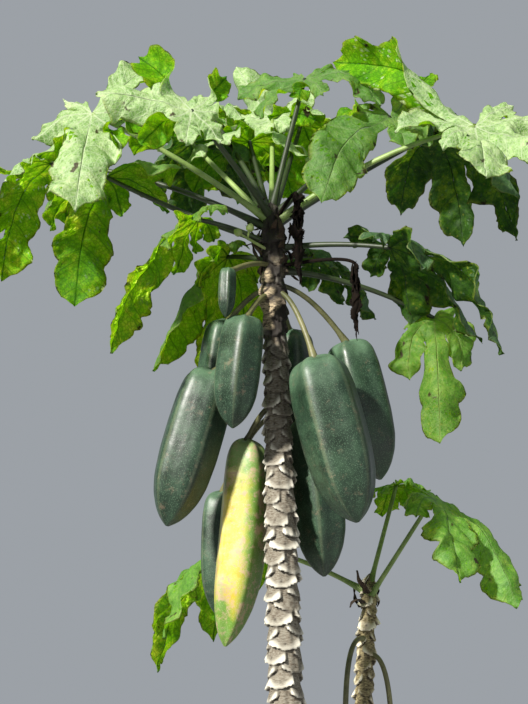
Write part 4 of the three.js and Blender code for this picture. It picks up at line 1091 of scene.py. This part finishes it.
# A strip's sheet, in millimetres, radians and shares of length or width: how narrow it ends, how its width
# swells, waves and is ragged towards the edges; how it rolls from its rib to each edge and turns on its
# way down, each strip on from the last; how it sways and puckers; how much it is creased each way, by
# creases closer than a live leaf's.
DRY = {
    "rows": 70, "columns": 17, "half": 0.45,
    "ends": 0.25, "swell": 0.7, "tip": 1.05, "swing": 0.25, "swings": 17,
    "ragged": (0.55, 1.15), "outer": (0.5, 1),
    "roll": 1.6, "unroll": 0.9, "rolls": 7, "turn": 3.5, "next": 1.7, "round": 0.55, "open": (0.7, 0.5),
    "sway": 3.0, "sways": 9, "sway_back": 0.5, "pucker": 4, "puckers": 12,
    "crease": 0.3 * np.array([1, 0.7, 0.4]), "closer": 1.8,
    "seed": 70, "crease_seed": 90,
}
# base is the height on the stem, elbow where the stalk bends over, drop and tip the blade's ends.
WITHERED = [
    {"base": 2104, "elbow": (62, -46, 2112), "drop": (77, -44, 2098), "tip": (79, -44, 1986), "radius": 8},
    {"base": 2166, "elbow": (-8, -26, 2222), "drop": (-6, -31, 2206), "tip": (-2, -34, 2072), "radius": 12},
]


def dry_blade(name, leaf, number, material):
    """The shrunken lobes of a dead leaf, each a strip that is crumpled and rolled round its rib."""
    random = np.random.RandomState(DRY["seed"] + number)
    drop, tip = np.array(leaf["drop"], float), np.array(leaf["tip"], float)
    rows, columns = DRY["rows"], DRY["columns"]
    points, faces = [], []
    for strip, (first, last, wide) in enumerate(DRY_STRIPS):
        way = np.linspace(0, 1, rows)[:, None]
        aside = np.linspace(-1, 1, columns)[None, :]
        ragged = np.repeat(random.uniform(*DRY["ragged"], rows)[:, None], columns, axis=1)
        outer = smooth(np.abs(aside), *DRY["outer"])
        swell = np.sin(math.pi * np.clip(way * DRY["tip"], 0, 1)) ** DRY["swell"]
        width = leaf["radius"] * wide * (DRY["ends"] + (1 - DRY["ends"]) * swell)
        width = width * (1 + DRY["swing"] * np.sin(way * DRY["swings"] + strip * 2))
        width = width * (1 - outer + outer * ragged)
        roll = aside * (DRY["roll"] + DRY["unroll"] * np.sin(way * DRY["rolls"] + strip))
        roll = roll + strip * DRY["next"] + DRY["turn"] * way
        reach = DRY["round"] * width * (DRY["open"][0] + DRY["open"][1] * np.abs(aside))
        centre = drop + (tip - drop) * (first + (last - first) * way)
        sway = DRY["sway"] * np.sin(way * DRY["sways"] + strip * 2 + number) * np.sin(math.pi * way)
        sheet = np.empty((rows, columns, 3))
        sheet[..., 0] = centre[:, 0, None] + sway + reach * np.cos(roll)
        sheet[..., 1] = centre[:, 1, None] + sway * DRY["sway_back"] + reach * np.sin(roll)
        sheet[..., 2] = centre[:, 2, None] + DRY["pucker"] * np.sin(roll * 2 + way * DRY["puckers"])
        lifted = creased(sheet * DRY["closer"], DRY["crease_seed"] + number * 10 + strip)
        sheet += lifted[..., None] * DRY["crease"]
        points.append(sheet.reshape(-1, 3))
        faces.append(grid_faces(rows, columns, False) + strip * rows * columns)
    thick = np.full(len(DRY_STRIPS) * rows * columns, DRY["half"])
    return two_sided(name, np.vstack(points) * MM, np.vstack(faces), {"above": thick, "below": thick},
                     [material, material])


# Dead leaf tissue: brittle, dull, very dark brown with rusty specks.
dead_leaf = stalk_skin("dead_leaf_tissue", "#120c07", "#080503", "#2b1810", 0.95, 0.15)

for number, leaf in enumerate(WITHERED, 1):
    node = f"withered_leaf_{number:02d}"
    start = stem_axis(TRUNK, leaf["base"] * MM)[0]
    elbow, drop = np.array(leaf["elbow"]) * MM, np.array(leaf["drop"]) * MM
    path = arch(start, elbow, drop, DRY_STALK["steps"])
    radii = np.linspace(DRY_STALK["foot"], DRY_STALK["head"], DRY_STALK["steps"]) * MM
    points, faces = tube(path, radii, DRY_STALK["sides"], DRY_STALK["ridges"], DRY_STALK["groove"])
    stalk = make_piece(node + "_stalk", points, faces, [dead_leaf])
    for piece in (stalk, dry_blade(node + "_blade", leaf, number, dead_leaf)):
        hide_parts(node)

# Dried leaf bases: brittle brown shreds of the stalks that have fallen, still stuck round the tip of each
# stem, curling away from it.

# The shreds of a stem: their piece's name, the stem, its node and slot, how many, from which height to
# which, and the seed of their run of chance.
SHREDS = [("trunk", TRUNK, "main_trunk", "bark", 34, (2.10, 2.196), 81),
          ("sucker", SUCKER, "sucker_stem", "sucker_bark", 8, (1.61, 1.662), 82)]
# A shred, in millimetres, radians and shares: how far it leans out and curls, how it points, up twice as
# often as down, how it narrows, waves askew, is cupped and strays sideways.
SHRED = {"rows": 12, "columns": 5, "half": 0.5, "length": (18, 46), "width": (6, 15), "lean": (0.3, 1.1),
         "curl": (-1.4, 1.2), "ways": [1, 1, -0.8], "narrows": 0.75, "taper": 1.5, "wave": 1.2,
         "waves": (6, 14), "askew": 5, "cup": 5, "stray": 5}
# Dried leaf base: the same skin gone brown and papery.
dry_shred = stalk_skin("dried_leaf_base", "#3c2d1f", "#150e08", "#6b5a40", 0.85)

for name, stem, node, slot, count, span, seed in SHREDS:
    random = np.random.RandomState(seed)
    levels, radii = np.array(stem["radii"]).T * MM
    way = np.linspace(0, 1, SHRED["rows"])[:, None, None]
    aside = np.linspace(-0.5, 0.5, SHRED["columns"])[None, :, None]
    quads = grid_faces(SHRED["rows"], SHRED["columns"], False)
    points, faces = [], []
    for number in range(count):
        height, angle = random.uniform(*span), random.uniform(0, 2 * math.pi)
        length, wide = random.uniform(*SHRED["length"]) * MM, random.uniform(*SHRED["width"]) * MM
        out = np.array([math.cos(angle), math.sin(angle), 0])
        side = np.array([-out[1], out[0], 0])
        foot = stem_axis(stem, height)[0] + out * (np.interp(height, levels, radii) + SHRED["half"] * MM)
        lean, curl = random.uniform(*SHRED["lean"]), random.uniform(*SHRED["curl"])
        bend = lean + curl * way
        narrow = 1 - SHRED["narrows"] * way ** SHRED["taper"]
        wave = SHRED["wave"] * MM * np.sin(way * random.uniform(*SHRED["waves"]) + aside * SHRED["askew"])
        outwards = length * way * np.sin(bend) + wave + SHRED["cup"] * MM * aside ** 2
        upwards = length * way * np.cos(bend) * random.choice(SHRED["ways"])
        stray = random.uniform(-SHRED["stray"], SHRED["stray"]) * MM * way ** 2
        sheet = foot + out * outwards + UP * upwards + side * (aside * wide * narrow + stray)
        points.append(sheet.reshape(-1, 3))
        faces.append(quads + number * SHRED["rows"] * SHRED["columns"])
    thick = np.full(sum(len(part) for part in points), SHRED["half"])
    shreds = two_sided(f"{name}_tip_shreds", np.vstack(points), np.vstack(faces),
                       {"above": thick, "below": thick}, [dry_shred, dry_shred])
    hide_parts(node)

# Flower buds: two round closed buds on one short forked twig, pale yellow-green. It grows from the angle
# between the trunk and a leaf's stalk, just under the leaves.

# base is the height on the stem, fork where the twig parts, elbow how far along it bends over.
BUDS = {"base": 2126, "fork": (-78, -42, 2136), "buds": [(-92, -46, 2144), (-74, -50, 2150)], "elbow": 0.6,
        "foot": 2.2, "head": 2, "twig": 1.6, "radius": 6, "half_length": 6.6, "sides": 20, "ridges": 5,
        "groove": 0.03}
BUD_PROFILE = [(0, 0.25), (0.08, 0.62), (0.25, 0.93), (0.5, 1.0), (0.75, 0.8), (0.92, 0.4), (1, 0.08)]
BUD_RINGS = 18
TWIG_RINGS = 6
FORK_RINGS = 12

# Bud skin: the smooth waxy skin of the stalks, paler and yellower.
bud_skin = stalk_skin("bud_skin", "#98a46c", "#788a49", "#6e6f3e")
start = stem_axis(TRUNK, BUDS["base"] * MM)[0] / MM
fork = np.array(BUDS["fork"], float)
elbow = start + (fork - start) * BUDS["elbow"]
bud_parts = [(arch(start, elbow, fork, FORK_RINGS), np.linspace(BUDS["foot"], BUDS["head"], FORK_RINGS))]
way = np.linspace(0, 1, BUD_RINGS)
ways, shares = np.array(BUD_PROFILE).T
for bud in BUDS["buds"]:
    bud = np.array(bud, float)
    out = unit(bud - fork)
    bud_parts.append((np.linspace(fork, bud, TWIG_RINGS), np.full(TWIG_RINGS, BUDS["twig"])))
    body_path = bud + out * BUDS["half_length"] * (2 * way[:, None] - 1)
    bud_parts.append((body_path, BUDS["radius"] * np.interp(way, ways, shares)))
bud_points, bud_faces = [], []
for path, radii in bud_parts:
    points, faces = tube(path, radii, BUDS["sides"], BUDS["ridges"], BUDS["groove"])
    start_at = sum(len(part) for part in bud_points)
    bud_points.append(points)
    bud_faces += [[corner + start_at for corner in face] for face in faces]
buds = make_piece("flower_buds_pair", np.vstack(bud_points) * MM, bud_faces, [bud_skin])
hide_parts("flower_buds")

# Studio: a plain pale floor that the plant stands on, an even pale surround, a sun-like key lamp from
# high on the viewer's left, and a wide soft fill from the right.

# The key lamp shines from a direction off the crown's middle, slightly warm, and spreads by degrees.
HALF_FLOOR = 6
SKY_STRENGTH = 0.45
CROWN_MIDDLE = (-0.05, 0.05, 2.1)
KEY_FROM = (-0.544, -0.696, 0.470)
KEY_AWAY = 3
KEY_STRENGTH = 8.5
KEY_SPREAD = 4
KEY_COLOUR = (1.0, 0.965, 0.9)
FILL_FROM = (1.6, -1.8, 1.6)
FILL_STRENGTH = 6
FILL_SIZE = 2.2

floor_mesh = bpy.data.meshes.new("studio_floor")
corners = [(x * HALF_FLOOR, y * HALF_FLOOR, 0) for x, y in [(-1, -1), (1, -1), (1, 1), (-1, 1)]]
floor_mesh.from_pydata(corners, [], [(0, 1, 2, 3)])
floor = bpy.data.objects.new("studio_floor", floor_mesh)
bpy.context.scene.collection.objects.link(floor)
# Matt floor paint, rolled on: a pale grey with faint clouds 400 mm across.
floor_paint, floor_tree, paint, place = bare_material("matt_floor_paint")
cloud = add_node(floor_tree, "TexNoise", {"Vector": place}, Scale=1 / (400 * MM), Detail=3)
grey = add_node(floor_tree, "ValToRGB", {"Fac": cloud}, stops=[(0.3, "#9b9c9a"), (0.7, "#a2a3a1")])
set_inputs(paint, {"Base Color": grey, "Roughness": 0.9})
floor_mesh.materials.append(floor_paint)

world = bpy.data.worlds.new("pale_studio")
world.use_nodes = True
set_inputs(world.node_tree.nodes["Background"], {"Color": "#dfe6ee", "Strength": SKY_STRENGTH})
bpy.context.scene.world = world


def hang_lamp(name, kind, place, strength):
    """A lamp at a place, turned towards the middle of the crown."""
    light = bpy.data.lights.new(name, kind)
    light.energy = strength
    lamp = bpy.data.objects.new(name, light)
    lamp.location = place
    lamp.rotation_euler = (Vector(CROWN_MIDDLE) - Vector(place)).to_track_quat("-Z", "Y").to_euler()
    bpy.context.scene.collection.objects.link(lamp)
    return light


key_place = [middle + KEY_AWAY * way for middle, way in zip(CROWN_MIDDLE, KEY_FROM)]
key = hang_lamp("key_lamp", "SUN", key_place, KEY_STRENGTH)
key.angle = math.radians(KEY_SPREAD)
key.color = KEY_COLOUR
fill = hang_lamp("fill_lamp", "AREA", FILL_FROM, FILL_STRENGTH)
fill.size = FILL_SIZE

# Camera: where the viewer stood, at eye height and two metres away, looking up at the crown from below
# the fruits.

LENS = 80.3
EYE = (-0.054, -2.240, 1.500)
LOOK_UP = 12

camera = bpy.data.objects.new("camera", bpy.data.cameras.new("camera"))
camera.data.lens = LENS
camera.location = EYE
camera.rotation_euler = (math.radians(90 + LOOK_UP), 0, 0)
bpy.context.scene.collection.objects.link(camera)
bpy.context.scene.camera = camera
bpy.context.scene.view_settings.view_transform = "Standard"
